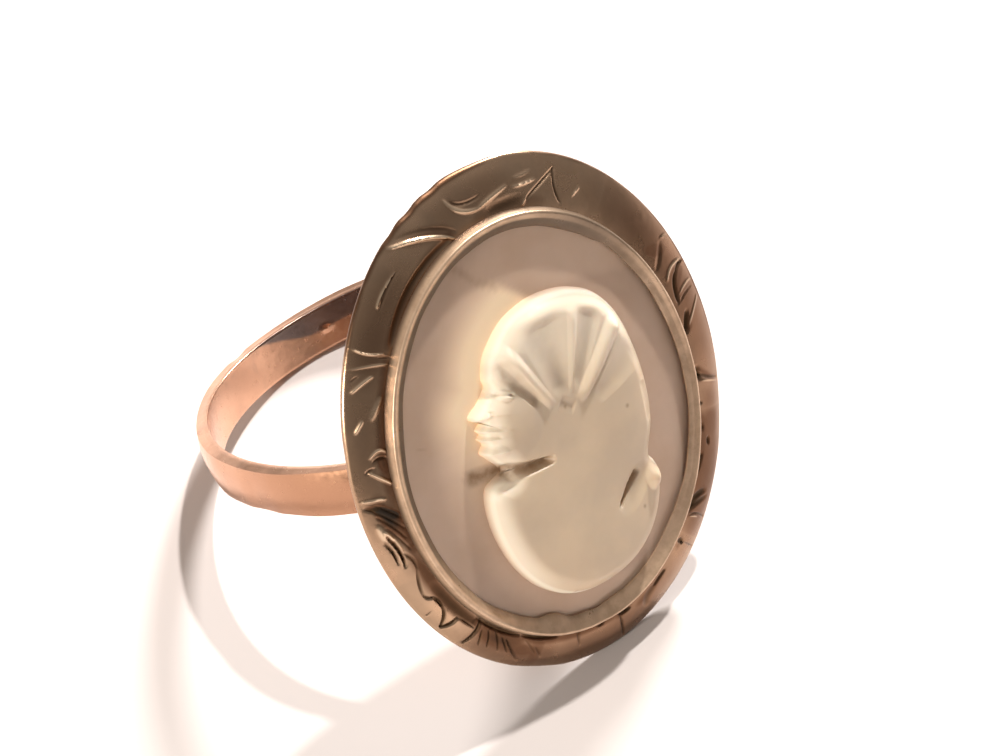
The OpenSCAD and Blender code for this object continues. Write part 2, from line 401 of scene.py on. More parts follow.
# how far out, as shares, the near side gets painted shade, and how much the far one gets inside
SHADE_OUTSIDE = (0.3, 0.6)
SHADE_FAR = 0.55
in_bore = outside < BORE_SHARE
bead_far = np.hypot(np.radians(turned - BEAD_TURN) * FINGER_R, places[:, 1] - BEAD_ALONG)
bead = BEAD_RISE * bump(bead_far / BEAD_REACH) * in_bore
places[:, [0, 2]] *= (1 - bead / new_radius)[:, None]
soot_edge = SOOT_EDGE + smooth_step(*SOOT_LEAVES, round_turn) + waves(turned, *SOOT_WAVES)
sooty = smooth_step(*SOOT_BLUR, places[:, 1] - soot_edge) * stretch(round_turn, *SOOT_TURNS)
sooty *= in_bore * (bead < BEAD_RISE / 10)
# painted shade: darker low on the near side and inside the far half
shaded_near = smooth_step(*SHADE_OUTSIDE, outside) * stretch(turned, *SHADE_NEAR_TURNS)
shaded_far = SHADE_FAR * in_bore * stretch(round_turn, *SHADE_FAR_TURNS)
print("sooty points:", int((sooty > 0.5).sum()), "bead points:", int((bead > 0).sum()))

# %% Bend the near side up and mark the points
places[:, 1] += sideways
set_vertex_places(band.data, places)
add_attribute(band.data, "soot", sooty)
add_attribute(band.data, "band_shade", np.maximum(shaded_near, shaded_far))
print("the near side is bent up by", sideways.max().round(3), "mm")

# %% [markdown]
# The band is cut level where the bezel's closed back is soldered on, so it never reaches the
# shell. Bisect does that too, and fills the cut.

# %% Cut the band's seat
SEAT_UNDER_STONE = 0.165
SEAT_N = stone_lo[2] - SEAT_UNDER_STONE
edit_piece(band)
cut_away((0, 0, SEAT_N), (0, 0, 1))
bpy.ops.object.mode_set(mode="OBJECT")
print("band is cut level at", round(float(SEAT_N), 3), "mm from the finger's middle")

# %% [markdown]
# ## A sleeve of rings
# The head's pieces are ovals, and an oval can't be spun. But like a spun form each is made of
# rings. So each starts as two circles that are bridged with as many cuts as it has rings, and
# code then gives every ring its size and height. The height of a point on the raw sleeve says
# which ring it belongs to, and its direction from the middle says where it is on the ring.


# %% Make a sleeve and close it
def make_sleeve(name, spokes, rings):
    """An object of that many rings: returns it, each vertex's ring number and its angle."""
    start_piece()
    bpy.ops.mesh.primitive_circle_add(vertices=spokes, radius=1, location=(0, 0, 0))
    sleeve = bpy.context.object
    sleeve.name = name
    bpy.ops.object.mode_set(mode="EDIT")
    bpy.ops.mesh.primitive_circle_add(vertices=spokes, radius=1, location=(0, 0, 1))
    bpy.ops.mesh.select_all(action="SELECT")
    bpy.ops.mesh.bridge_edge_loops(number_cuts=rings - 2, interpolation="LINEAR")
    bpy.ops.object.mode_set(mode="OBJECT")
    places = vertex_places(sleeve.data)
    ring = np.rint(places[:, 2] * (rings - 1)).astype(int)
    angle = np.arctan2(places[:, 0], places[:, 1])
    print(name, "starts as", rings, "rings of", spokes, "points")
    return sleeve, ring, angle


def close_sleeve(sleeve, weld):
    """Merges what lies closer than the weld, in mm, and turns the faces outwards."""
    edit_piece(sleeve)
    bpy.ops.mesh.remove_doubles(threshold=weld * MM)
    bpy.ops.mesh.select_all(action="SELECT")
    bpy.ops.mesh.normals_make_consistent(inside=False)
    bpy.ops.object.mode_set(mode="OBJECT")


# %% [markdown]
# ## The engraved border
# The border is a thin oval sheet, dished so that its rim lies lower than its foot at the bezel.
# Its reach is what the plate has beyond the bezel's wall, and the wall follows from the stone, so
# a ring with another stone would still fit. A share of 0 is at the rim and 1 at the bezel.

# %% The border's sizes, from the frame
EDGE_LIFT = 0.2
HEAD_N = FINGER_R + EDGE_LIFT
PLATE_T = 0.3
PLATE_RISE = 0.5
BEZEL_WALL = 0.25
BEZEL_FLARE = 0.1
STONE_GAP = 0.04
wall_half = STONE_HALF + BEZEL_WALL + STONE_GAP
rim_r = PLATE_T / 2
plate_reach = PLATE_HALF[1] - wall_half[1]
rim_angle = math.atan2(2 * PLATE_RISE, plate_reach)
rim_out = rim_r * (math.sin(rim_angle) - 1)
print("bezel half sizes", wall_half.round(3), "border width", plate_reach.round(2))


def on_oval(share, out, angle):
    """Place across the head of a point at an angle clockwise from the top, in mm."""
    half_x = PLATE_HALF[0] + share * (wall_half[0] - PLATE_HALF[0]) + out
    half_y = PLATE_HALF[1] + share * (wall_half[1] - PLATE_HALF[1]) + out
    return (share * HEAD_MIDDLE[0] + half_x * np.sin(angle),
            share * HEAD_MIDDLE[1] + half_y * np.cos(angle))


def dish(share):
    """Height of the border's front over its rim, in mm."""
    return PLATE_RISE * share * (2 - share)


# %% [markdown]
# A graver has cut leaf scrolls into the border, and years of wear have softened them. A bump in
# a material would be lost in the mesh, so the cuts are real. Each row of the first table is one
# stroke of the graver through three points on the border. A negative depth is metal that stands
# up between cuts. The second table paints tarnish and painted shade with strokes of the same kind.

# %% The graver's strokes
STROKES = [
    # degrees clockwise from the top and share of the way to the bezel, at the start, the middle
    # and the end of the stroke, then half width and depth in mm
    # the top
    (353.5, 0.30, 356.5, 0.62, 362.5, 0.76, 0.09, -0.08),
    (362.5, 0.76, 366.5, 0.68, 373.0, 0.54, 0.09, -0.07),
    (355.0, 0.36, 358.0, 0.54, 364.0, 0.56, 0.07, 0.08),
    (374.5, 0.60, 378.5, 0.57, 382.5, 0.49, 0.055, -0.07),
    (375.5, 0.45, 378.5, 0.41, 381.5, 0.34, 0.055, -0.05),
    (365.0, 0.90, 371.0, 0.88, 377.0, 0.82, 0.25, 0.06),
    (377.3, 0.97, 378.0, 0.88, 379.0, 0.80, 0.06, -0.05),
    (379.0, 0.86, 383.5, 0.62, 389.0, 0.27, 0.06, 0.10),
    (391.0, 0.90, 388.7, 0.60, 389.0, 0.27, 0.06, 0.10),
    (394.5, 0.72, 395.8, 0.62, 397.0, 0.50, 0.04, -0.06),
    # the right side
    (70.0, 0.85, 69.0, 0.65, 67.5, 0.42, 0.12, 0.05),
    (67.0, 0.30, 68.0, 0.16, 69.0, 0.05, 0.04, -0.05),
    (82.0, 0.78, 77.5, 0.66, 76.0, 0.45, 0.09, 0.12),
    (76.0, 0.45, 75.6, 0.28, 76.5, 0.06, 0.06, 0.09),
    (75.0, 0.78, 73.8, 0.50, 75.8, 0.10, 0.07, -0.06),
    (80.5, 0.62, 80.4, 0.35, 81.5, 0.08, 0.06, -0.05),
    (82.2, 0.70, 81.9, 0.50, 82.4, 0.20, 0.05, 0.05),
    (90.0, 0.87, 88.0, 0.80, 85.5, 0.66, 0.12, 0.12),
    (89.0, 0.75, 87.0, 0.45, 85.5, 0.10, 0.06, -0.05),
    (100.0, 0.84, 101.8, 0.84, 103.5, 0.82, 0.10, 0.12),
    (101.5, 0.86, 103.7, 0.60, 106.0, 0.10, 0.07, 0.10),
    (104.2, 0.75, 105.2, 0.50, 106.7, 0.15, 0.05, -0.05),
    (109.4, 0.90, 109.6, 0.88, 109.8, 0.84, 0.08, 0.10),
    (115.2, 0.90, 116.0, 0.87, 117.0, 0.82, 0.11, 0.12),
    (119.3, 0.61, 120.2, 0.60, 121.3, 0.58, 0.08, 0.10),
    # the lower right
    (123.5, 0.80, 125.5, 0.84, 128.5, 0.87, 0.11, 0.12),
    (139.5, 0.86, 135.5, 0.72, 133.5, 0.42, 0.16, 0.12),
    (139.0, 0.80, 136.8, 0.60, 135.0, 0.30, 0.12, 0.10),
    (140.5, 0.75, 139.8, 0.40, 140.3, 0.05, 0.05, 0.09),
    (141.2, 0.75, 140.8, 0.60, 140.7, 0.45, 0.04, -0.05),
    (148.5, 0.80, 148.5, 0.72, 148.4, 0.62, 0.13, 0.12),
    (148.4, 0.62, 148.2, 0.30, 148.0, 0.05, 0.05, 0.07),
    (158.0, 0.74, 161.0, 0.74, 164.0, 0.72, 0.07, 0.08),
    (164.0, 0.70, 168.0, 0.60, 168.5, 0.42, 0.20, 0.07),
    (174.5, 0.82, 177.0, 0.85, 179.0, 0.88, 0.09, 0.12),
    (178.6, 0.85, 179.0, 0.45, 179.3, 0.05, 0.06, 0.09),
    # the lower left
    (185.0, 0.95, 186.0, 0.94, 187.5, 0.93, 0.09, 0.10),
    (194.5, 1.00, 195.0, 0.80, 194.7, 0.55, 0.06, 0.07),
    (203.0, 0.97, 210.0, 0.95, 216.0, 0.97, 0.08, 0.12),
    (217.0, 0.96, 225.0, 0.93, 233.0, 0.96, 0.10, 0.12),
    (210.5, 0.65, 209.0, 0.50, 208.0, 0.38, 0.05, 0.06),
    (214.5, 0.85, 212.0, 0.65, 210.0, 0.45, 0.05, 0.05),
    (221.0, 0.76, 218.3, 0.50, 215.0, 0.20, 0.05, 0.10),
    (222.5, 0.76, 220.5, 0.55, 219.0, 0.38, 0.05, 0.10),
    (225.2, 0.85, 223.2, 0.60, 222.0, 0.35, 0.05, 0.10),
    (227.6, 0.80, 226.3, 0.58, 225.5, 0.34, 0.05, 0.11),
    (229.6, 0.72, 228.8, 0.50, 228.0, 0.28, 0.05, 0.11),
    (231.6, 0.95, 231.3, 0.50, 232.6, 0.03, 0.07, 0.12),
    (232.0, 0.66, 235.0, 0.67, 238.3, 0.64, 0.04, 0.06),
    (233.0, 0.82, 240.0, 0.82, 250.0, 0.80, 0.26, 0.08),
    (238.3, 0.62, 238.6, 0.38, 239.8, 0.14, 0.08, 0.13),
    (239.8, 0.14, 241.2, 0.42, 243.2, 0.57, 0.08, 0.13),
    (243.2, 0.57, 245.2, 0.62, 247.6, 0.58, 0.07, 0.12),
    (247.6, 0.58, 248.2, 0.48, 249.5, 0.42, 0.06, 0.10),
    (249.5, 0.42, 252.5, 0.52, 256.0, 0.68, 0.07, 0.10),
    (256.0, 0.68, 259.0, 0.76, 262.0, 0.62, 0.06, 0.08),
    (244.7, 0.30, 244.7, 0.18, 244.8, 0.06, 0.04, 0.06),
    # the leaf at the left
    (258.5, 0.47, 262.0, 0.54, 267.5, 0.40, 0.06, 0.12),
    (260.0, 0.36, 263.0, 0.38, 266.0, 0.29, 0.055, 0.11),
    (259.0, 0.42, 263.0, 0.46, 266.5, 0.36, 0.04, -0.05),
    (262.0, 0.60, 265.5, 0.58, 268.5, 0.42, 0.05, -0.06),
    (266.5, 0.32, 268.5, 0.32, 270.3, 0.30, 0.12, -0.08),
    (265.8, 0.50, 267.3, 0.47, 268.8, 0.40, 0.06, -0.09),
    (262.0, 0.85, 266.0, 0.70, 269.5, 0.50, 0.045, 0.05),
    (265.5, 0.88, 269.5, 0.65, 272.5, 0.35, 0.045, 0.06),
    (268.0, 0.95, 272.0, 0.60, 274.5, 0.20, 0.045, 0.06),
    (271.0, 0.97, 273.5, 0.70, 275.3, 0.40, 0.045, 0.06),
    (274.6, 0.50, 274.5, 0.30, 275.0, 0.14, 0.09, 0.08),
    # the left side
    (276.6, 0.70, 276.7, 0.45, 276.3, 0.08, 0.06, -0.09),
    (280.3, 1.00, 281.6, 0.78, 283.3, 0.45, 0.06, -0.10),
    (284.3, 0.60, 283.6, 0.45, 282.9, 0.38, 0.05, 0.08),
    (287.0, 0.97, 286.8, 0.78, 285.8, 0.60, 0.06, 0.09),
    (288.6, 1.00, 288.8, 0.75, 286.7, 0.52, 0.06, -0.08),
    (295.4, 0.43, 293.9, 0.35, 292.0, 0.25, 0.06, -0.08),
    (302.5, 0.88, 299.0, 0.75, 296.0, 0.62, 0.14, -0.05),
    (306.3, 0.62, 303.8, 0.40, 300.8, 0.18, 0.065, -0.10),
    (304.9, 0.30, 303.9, 0.22, 302.9, 0.15, 0.05, 0.06),
    (311.0, 0.97, 308.8, 0.60, 305.3, 0.06, 0.05, -0.06),
    (312.9, 1.00, 312.0, 0.85, 311.2, 0.70, 0.05, 0.07),
    (312.9, 0.80, 310.5, 0.40, 310.1, 0.04, 0.045, -0.08),
    # the upper left
    (316.0, 0.93, 332.0, 0.86, 350.0, 0.92, 0.12, 0.08),
    (321.0, 0.38, 325.0, 0.36, 331.3, 0.42, 0.045, -0.09),
    (321.5, 0.46, 327.0, 0.43, 332.0, 0.46, 0.045, 0.08),
    (351.8, 1.00, 343.8, 0.56, 333.7, 0.07, 0.075, -0.12),
    (353.0, 0.90, 346.0, 0.50, 337.0, 0.10, 0.09, 0.05),
]
print(len(STROKES), "strokes on the border")

# %% Where it is tarnished and where shade is painted
TARNISH_AND_SHADE = [
    # laid out like a stroke, but the last number is how dark the metal is, bright below zero
    # broad painted shade and tarnish first, and one lighter patch of painted reflection
    (266.0, 0.5, 285.0, 0.5, 312.0, 0.5, 1.6, 0.20),
    (346.0, 0.5, 0.5, 0.5, 14.0, 0.5, 0.9, 0.25),
    (306.0, 0.5, 318.0, 0.5, 332.0, 0.5, 1.1, 0.45),
    (232.0, 0.2, 240.0, 0.2, 254.0, 0.2, 0.8, -0.15),
    (45.0, 0.5, 80.0, 0.5, 112.0, 0.5, 1.9, 0.70),
    (112.0, 0.5, 130.0, 0.5, 146.0, 0.5, 1.6, 0.88),
    (150.0, 0.5, 180.0, 0.5, 212.0, 0.5, 1.9, 0.62),
    (208.0, 0.5, 222.0, 0.5, 233.0, 0.5, 1.2, 0.60),
    (274.5, 0.45, 270.0, 0.75, 262.0, 0.95, 0.42, 0.90),
    (275.3, 0.20, 273.5, 0.60, 271.6, 1.00, 0.20, 0.80),
    # painted shade over the rim's highlights
    (308.0, -0.03, 338.0, -0.03, 372.0, -0.03, 0.20, 1.0),
    (20.0, -0.03, 60.0, -0.03, 100.0, -0.03, 0.14, 0.7),
    # small patches of tarnish and painted shade round the cuts
    (360.0, 0.92, 372.0, 0.90, 385.0, 0.90, 0.35, 0.45),
    (315.0, 0.88, 335.0, 0.88, 352.0, 0.90, 0.32, 0.60),
    (338.0, 0.30, 345.0, 0.55, 352.0, 0.85, 0.38, 0.45),
    (270.0, 0.90, 290.0, 0.90, 312.0, 0.90, 0.30, 0.55),
    (268.0, 0.60, 273.0, 0.55, 277.0, 0.50, 0.40, 0.45),
    (284.0, 0.90, 286.0, 0.80, 286.0, 0.65, 0.28, 0.40),
    (232.0, 0.85, 246.0, 0.82, 262.0, 0.85, 0.42, 0.95),
    (216.0, 0.85, 224.0, 0.75, 232.0, 0.80, 0.40, 0.45),
    (212.0, 0.55, 222.0, 0.55, 230.0, 0.55, 0.30, 0.20),
    (180.0, 0.90, 200.0, 0.92, 215.0, 0.92, 0.25, 0.35),
    (64.0, 0.80, 67.0, 0.60, 69.0, 0.40, 0.30, 0.25),
    (80.0, 0.75, 78.0, 0.55, 77.0, 0.20, 0.22, 0.25),
    (86.0, 0.75, 88.0, 0.75, 90.0, 0.78, 0.25, 0.30),
    (100.0, 0.85, 104.0, 0.50, 106.0, 0.20, 0.20, 0.25),
    (112.0, 0.90, 120.0, 0.80, 128.0, 0.85, 0.25, 0.25),
    (133.0, 0.50, 137.0, 0.75, 141.0, 0.85, 0.30, 0.30),
    (147.0, 0.75, 149.0, 0.75, 151.0, 0.75, 0.20, 0.25),
    (158.0, 0.72, 165.0, 0.72, 172.0, 0.70, 0.25, 0.25),
    (174.0, 0.85, 177.0, 0.84, 180.0, 0.82, 0.20, 0.25),
]
print(len(TARNISH_AND_SHADE), "patches of tarnish")

# %% [markdown]
# A stroke is a smooth curve, walked in short straight parts, and a point's height depends on how
# far it is from the nearest part. A graver goes in and comes out gently, so a stroke is narrower
# and shallower at its ends.

# %% How far a point lies from a stroke
STROKE_PARTS = 8
STROKE_END = 0.35


def curve_through(start, middle, end, parts):
    """Points of the smooth curve through three points."""
    pull = 2 * middle - (start + end) / 2
    share = np.linspace(0, 1, parts + 1)[:, None]
    return (1 - share) ** 2 * start + 2 * share * (1 - share) * pull + share**2 * end


def line_gap(points, start, end):
    """How far each point is from a straight line, and how far along the nearest place is."""
    along = end - start
    share = np.clip((points - start) @ along / (along @ along), 0, 1)
    return np.linalg.norm(points - start - share[:, None] * along, axis=1), share


def stroke_height(points, stroke):
    """Height that one stroke adds to points on the border, tapered at both of its ends."""
    a1, s1, a2, s2, a3, s3, half_width, depth = stroke
    ends = [np.array(on_oval(s, 0, math.radians(a))) for a, s in ((a1, s1), (a2, s2), (a3, s3))]
    line = curve_through(*ends, STROKE_PARTS)
    gap = np.full(len(points), np.inf)
    place = np.zeros(len(points))
    for number in range(STROKE_PARTS):
        new_gap, share = line_gap(points, line[number], line[number + 1])
        closer = new_gap < gap
        gap = np.where(closer, new_gap, gap)
        place = np.where(closer, (number + share) / STROKE_PARTS, place)
    taper = STROKE_END + (1 - STROKE_END) * np.sqrt(np.clip(4 * place * (1 - place), 0, 1))
    return -depth * taper * bump(gap / (half_width * (0.5 + 0.5 * taper)))


# %% [markdown]
# The sleeve for the border runs from under the bezel over the front to the rounded rim, and back
# along the underside. Most of its rings are on the front, where the engraving needs them.

# %% Shape the border
BORDER_SPOKES = 1440
FRONT_ROWS = 40
RIM_ROWS = 7
BACK_ROWS = 5
HIDDEN_SHARE = 0.1
front_shares = np.linspace(1 + HIDDEN_SHARE, 0, FRONT_ROWS)
rim_turns = np.linspace(math.pi / 2 - rim_angle, -math.pi / 2 - rim_angle, RIM_ROWS)[1:]
back_shares = np.linspace(0, 1 + HIDDEN_SHARE, BACK_ROWS)[1:]
border_rows = len(front_shares) + len(rim_turns) + len(back_shares)
border, ring, angle = make_sleeve("engraved_border", BORDER_SPOKES, border_rows)

row_share = np.concatenate([front_shares, 0 * rim_turns, back_shares])
front_out = np.clip(1 - front_shares, 0, None) * rim_out
round_out = -rim_r + rim_r * np.cos(rim_turns)
lean = rim_angle * np.clip(1 - back_shares, 0, None)
back_out = np.clip(1 - back_shares, 0, None) * rim_out - PLATE_T * np.sin(lean)
row_out = np.concatenate([front_out, round_out, back_out])
rim_z = -rim_r * math.cos(rim_angle)
row_z = np.concatenate([dish(np.clip(front_shares, 0, 1)), rim_z + rim_r * np.sin(rim_turns),
                        dish(np.clip(back_shares, 0, 1)) - PLATE_T * np.cos(lean)])
share = row_share[ring]
x, y = on_oval(share, row_out[ring], angle)
z = row_z[ring]
print("the sheet is", round(float(z.max() - z.min()), 2), "mm high from its rim to the bezel")

# %% [markdown]
# Every stroke adds its height to the front, a little wider and shallower than it was cut, as wear
# leaves it. The rim has a few small dents, and slow waves keep the sheet from looking stamped. At
# last the two open loops under the bezel are bridged, so the sheet is closed all round.

# %% Engrave it
WORN_WIDTH = 1.35
WORN_DEPTH = 0.8
# as shares: what wear has left of a cut at the rim, where cuts deepen, how far in a dent goes
RIM_CUT = 0.35
RIM_FADE = (0.02, 0.12)
DENT_REACH = 0.3
# the depth in mm that counts as a full cut, and the least and most tarnish and painted shade that
# shows
FULL_CUT = 0.1
TARNISH_SHADE_SPAN = (-1, 1.5)
BORDER_SWAY = (0.012, 9, 30)
SWAY_SWELL = (1, 4, 0)
BORDER_WELD = 0.001
RIM_DENTS = [
    # degrees clockwise from the top, half length in degrees, depth in mm
    (6, 9, 0.05),
    (352, 3, 0.04),
    (344, 3, 0.05),
    (337, 3, 0.04),
    (112, 12, 0.03),
    (207, 8, 0.04),
    (286, 6, 0.02),
]
flat = np.column_stack([x, y])
degrees = np.degrees(angle) % 360
front = ring < FRONT_ROWS
painted = ring < FRONT_ROWS + RIM_ROWS - 2
cuts = np.zeros(len(flat))
tarnish_and_shade = np.zeros(len(flat))
for *line, half, depth in STROKES:
    cuts[front] += stroke_height(flat[front], (*line, half * WORN_WIDTH, depth * WORN_DEPTH))
for stroke in TARNISH_AND_SHADE:
    tarnish_and_shade[painted] -= stroke_height(flat[painted], stroke)
cuts *= np.where(front, RIM_CUT + (1 - RIM_CUT) * smooth_step(*RIM_FADE, share), 0)
sway = waves(degrees, BORDER_SWAY) * waves(degrees, SWAY_SWELL)
z = z + cuts + sway * np.clip(1 - share, 0, 1)
dents = sum(depth * turn_bump(degrees, middle, half) for middle, half, depth in RIM_DENTS)
shrink = 1 - dents * (1 - smooth_step(0, DENT_REACH, share)) / np.hypot(x, y)
set_vertex_places(border.data, np.column_stack([x * shrink, y * shrink, z + HEAD_N]))
add_attribute(border.data, "cut", np.clip(-cuts / FULL_CUT, -1, 1))
add_attribute(border.data, "tarnish_and_shade", np.clip(tarnish_and_shade, *TARNISH_SHADE_SPAN))
edit_piece(border, "DESELECT")
bpy.ops.mesh.select_non_manifold()
bpy.ops.mesh.bridge_edge_loops()
close_sleeve(border, BORDER_WELD)
print("deepest cut", round(float(-cuts.min()), 3), "mm, highest ridge", round(float(cuts.max()), 3))

# %% [markdown]
# ## The bezel
# The bezel is a closed cup of thin sheet. Its top edge was pushed in over the stone with a
# burnisher and lies close on the shell. A table of rows gives its section from the middle of the
# closed back, up the wall, over the ridge and the lip, and down inside to the floor. Such a cup
# could be spun if it were round, but it is an oval, so it is a sleeve too.

# %% The bezel's section
RIDGE_Z = 0.95
LIP_W = 0.63
LIP_T = 0.2
LIP_DROP = 0.2
WORN_DROP = 0.3
WORN_EDGE_R = 0.06
FLOOR_T = 0.25
BACK_Z = 0.05 - EDGE_LIFT
ARC_ROWS = 9
LIP_ROWS = 8
WALL_ROWS = 6
lip_r = LIP_T / 2
ridge = np.array([-BEZEL_FLARE - lip_r, RIDGE_Z - lip_r])
lip_edge = np.array([-BEZEL_FLARE - LIP_W + WORN_EDGE_R, RIDGE_Z - WORN_DROP - WORN_EDGE_R])
lip_angle = math.atan2(ridge[1] - lip_edge[1], ridge[0] - lip_edge[0])


def straight(start, end, rows):
    """Rows of a straight stretch of the section, without its last one."""
    share = np.linspace(0, 1, rows + 1)[:-1, None]
    return (1 - share) * np.array(start) + share * np.array(end)


def rounded(middle, radius, start, end, rows):
    """Rows of a rounded edge, from one angle to another."""
    turns = np.radians(np.linspace(start, end, rows + 1))[:, None]
    return np.array(middle) + radius * np.hstack([np.cos(turns), np.sin(turns)])


lip_degrees = math.degrees(lip_angle)
ridge_arc = rounded(ridge, lip_r, 0, 90 + lip_degrees, ARC_ROWS)
edge_arc = rounded(lip_edge, WORN_EDGE_R, 90 + lip_degrees, 270 + lip_degrees, ARC_ROWS)
under_z = edge_arc[-1, 1] + (-BEZEL_WALL - edge_arc[-1, 0]) * math.tan(lip_angle)
bezel_rows = np.vstack([
    straight((0, BACK_Z), (0, PLATE_RISE), WALL_ROWS),
    straight((0, PLATE_RISE), ridge_arc[0], WALL_ROWS),
    ridge_arc[:-1],
    straight(ridge_arc[-1], edge_arc[0], LIP_ROWS),
    edge_arc[:-1],
    straight(edge_arc[-1], (-BEZEL_WALL, under_z), 2),
    [(-BEZEL_WALL, under_z)],
    [(-BEZEL_WALL, BACK_Z + FLOOR_T)],
])
print(len(bezel_rows), "rows in the bezel's section")

# %% [markdown]
# A burnished lip is never even. It is wider in places and dented in others, and at the right and
# the left wear has left it narrower. Its slope is steep at the upper left, where it is in shade,
# and flatter at the right. The table gives the single marks, and three fields of numbers say
# where the marks may act: on the lip, on its slope, and on everything near the top.

# %% Burnish the lip
BEZEL_SPOKES = 960
BEZEL_WELD = 0.0005
# heights in mm: where the lip starts, where the top begins and is full, where the foot fades out
LIP_FROM_Z = 0.4
TOP_Z = (0.6, 0.75)
LOW_Z = (0.5, 0.8)
# how far out from the wall's inner side the lip's marks start, in mm
LIP_INSIDE = 0.02
# waves of the lip's width and of its height, in mm, and how the height's swell and shrink
TREMBLE_WAVES = [(0.012, 7, 20), (0.006, 17, 0), (0.003, 31, 50)]
HAMMER_WAVES = (0.008, 11, 0)
HAMMER_SWELL = (1, 4, 130)
HAMMER_FINE = (0.003, 29, 10)
# how much flatter the slope is at the right, in mm, and where: a middle and half a length
LIP_FLAT = 0.15
FLAT_AT = (110, 85)
# where the slope gets painted shade, how that spreads, and how dark it is elsewhere and there
SHADE_AT = 335
SHADE_SLOPE = (0.08, 0.4)
SHADE_SPREAD = (0.25, 0.75)
SHADE_LEAST = 0.03
SHADE_MORE = 0.92
# painted shade on a stretch of the ridge: a middle and half a length, and how dark
SHADED_RIDGE_AT = (42, 36)
SHADED_RIDGE = 0.8
LIP_MARKS = [
    # degrees clockwise from the top, half length in degrees, inward growth, rise, in mm
    (205, 7, 0.20, 0.03),
    (187, 4, -0.05, -0.03),
    (178, 4, 0.04, 0.01),
    (52, 8, -0.07, -0.04),
    (30, 9, 0.03, 0.01),
    (128, 9, -0.04, 0.01),
    (150, 8, 0.03, -0.02),
    (232, 10, -0.04, 0.01),
    (262, 12, 0.04, 0.02),
    (318, 9, 0.03, -0.01),
    (345, 8, -0.02, 0.02),
    (95, 60, -0.13, 0.0),
    (252, 42, -0.12, 0.0),
]
bezel, ring, angle = make_sleeve("bezel", BEZEL_SPOKES, len(bezel_rows) + 2)
row = np.clip(ring - 1, 0, len(bezel_rows) - 1)
out, z = bezel_rows[row].T
degrees = np.degrees(angle) % 360
high = z > LIP_FROM_Z
slope = smooth_step(-BEZEL_FLARE - lip_r, -BEZEL_FLARE - LIP_W, out) * high
on_lip = smooth_step(-BEZEL_WALL + LIP_INSIDE, -BEZEL_FLARE - LIP_W + lip_r, out) * high
on_lip = np.where(ring > len(bezel_rows) - 2, 0, on_lip)
tremble = waves(degrees, *TREMBLE_WAVES)
hammer = waves(degrees, HAMMER_WAVES) * waves(degrees, HAMMER_SWELL) + waves(degrees, HAMMER_FINE)
for middle, half, grow, rise in LIP_MARKS:
    near = turn_bump(degrees, middle, half)
    tremble = tremble - grow * near
    hammer = hammer + rise * near
# painted shade on the lip's slope, darkest round the upper left
top_left = smooth_step(*SHADE_SPREAD, 0.5 + 0.5 * np.cos(np.radians(degrees - SHADE_AT)))
shade = smooth_step(*SHADE_SLOPE, slope) * (SHADE_LEAST + SHADE_MORE * top_left)
out = out + tremble * on_lip
z = z + hammer * smooth_step(*TOP_Z, z) + LIP_FLAT * turn_bump(degrees, *FLAT_AT) * slope * on_lip
x, y = on_oval(1, out, angle)
middle_rows = (ring == 0) | (ring == ring.max())
x = np.where(middle_rows, HEAD_MIDDLE[0], x)
y = np.where(middle_rows, HEAD_MIDDLE[1], y)
set_vertex_places(bezel.data, np.column_stack([x, y, z + HEAD_N]))
shaded_ridge = SHADED_RIDGE * turn_bump(degrees, *SHADED_RIDGE_AT) * (z > LOW_Z[0])
add_attribute(bezel.data, "shade", np.maximum(shade, shaded_ridge))
add_attribute(bezel.data, "low", 1 - smooth_step(*LOW_Z, z))
close_sleeve(bezel, BEZEL_WELD)
lip_widths = LIP_W - tremble
print("the lip is", lip_widths.min().round(2), "to", lip_widths.max().round(2), "mm wide")

# %% [markdown]
# ## The carved shell
# A cameo is cut from a shell with a pale layer over a darker one. The carver leaves the bust in
# the pale layer and cuts the ground down to the darker one. The mesh follows that: its rings
# run from the stone's edge over the ground to the bust's outline, and from there to the middle.
# So the outline is a clean line of points, which a plain grid would step across. The bust is
# drawn as an outline, a table of soft swellings and a table of creases. Its face is a calm one
# of plain proportions.

# %% The bust's outline
OPEN_B = 6.27
RELIEF_H = 1.15
RELIEF_EDGE_W = 0.8
EDGE_SHARE = 0.68
CROWN_REACH = 0.42
BUST_LEAN = math.radians(20)
GROUND_DOME = 0.15
BUST_OUTLINE = [
    # across the head and up it, as shares of the opening's half width
    (0.03, 0.835), (0.18, 0.825), (0.335, 0.775), (0.48, 0.645), (0.605, 0.42), (0.69, 0.18),
    (0.725, -0.06), (0.70, -0.27), (0.76, -0.35), (0.79, -0.54), (0.725, -0.77), (0.555, -0.96),
    (0.32, -1.065), (0.09, -1.075), (-0.13, -0.98), (-0.30, -0.82), (-0.42, -0.62),
    (-0.485, -0.42), (-0.48, -0.29), (-0.38, -0.205), (-0.47, -0.118), (-0.518, -0.075),
    (-0.497, -0.02), (-0.535, 0.012), (-0.513, 0.04), (-0.542, 0.068), (-0.512, 0.112),
    (-0.562, 0.125), (-0.588, 0.157), (-0.518, 0.235), (-0.472, 0.318), (-0.49, 0.375),
    (-0.478, 0.478), (-0.435, 0.57), (-0.33, 0.70), (-0.15, 0.80),
]
print(len(BUST_OUTLINE), "points draw the bust")

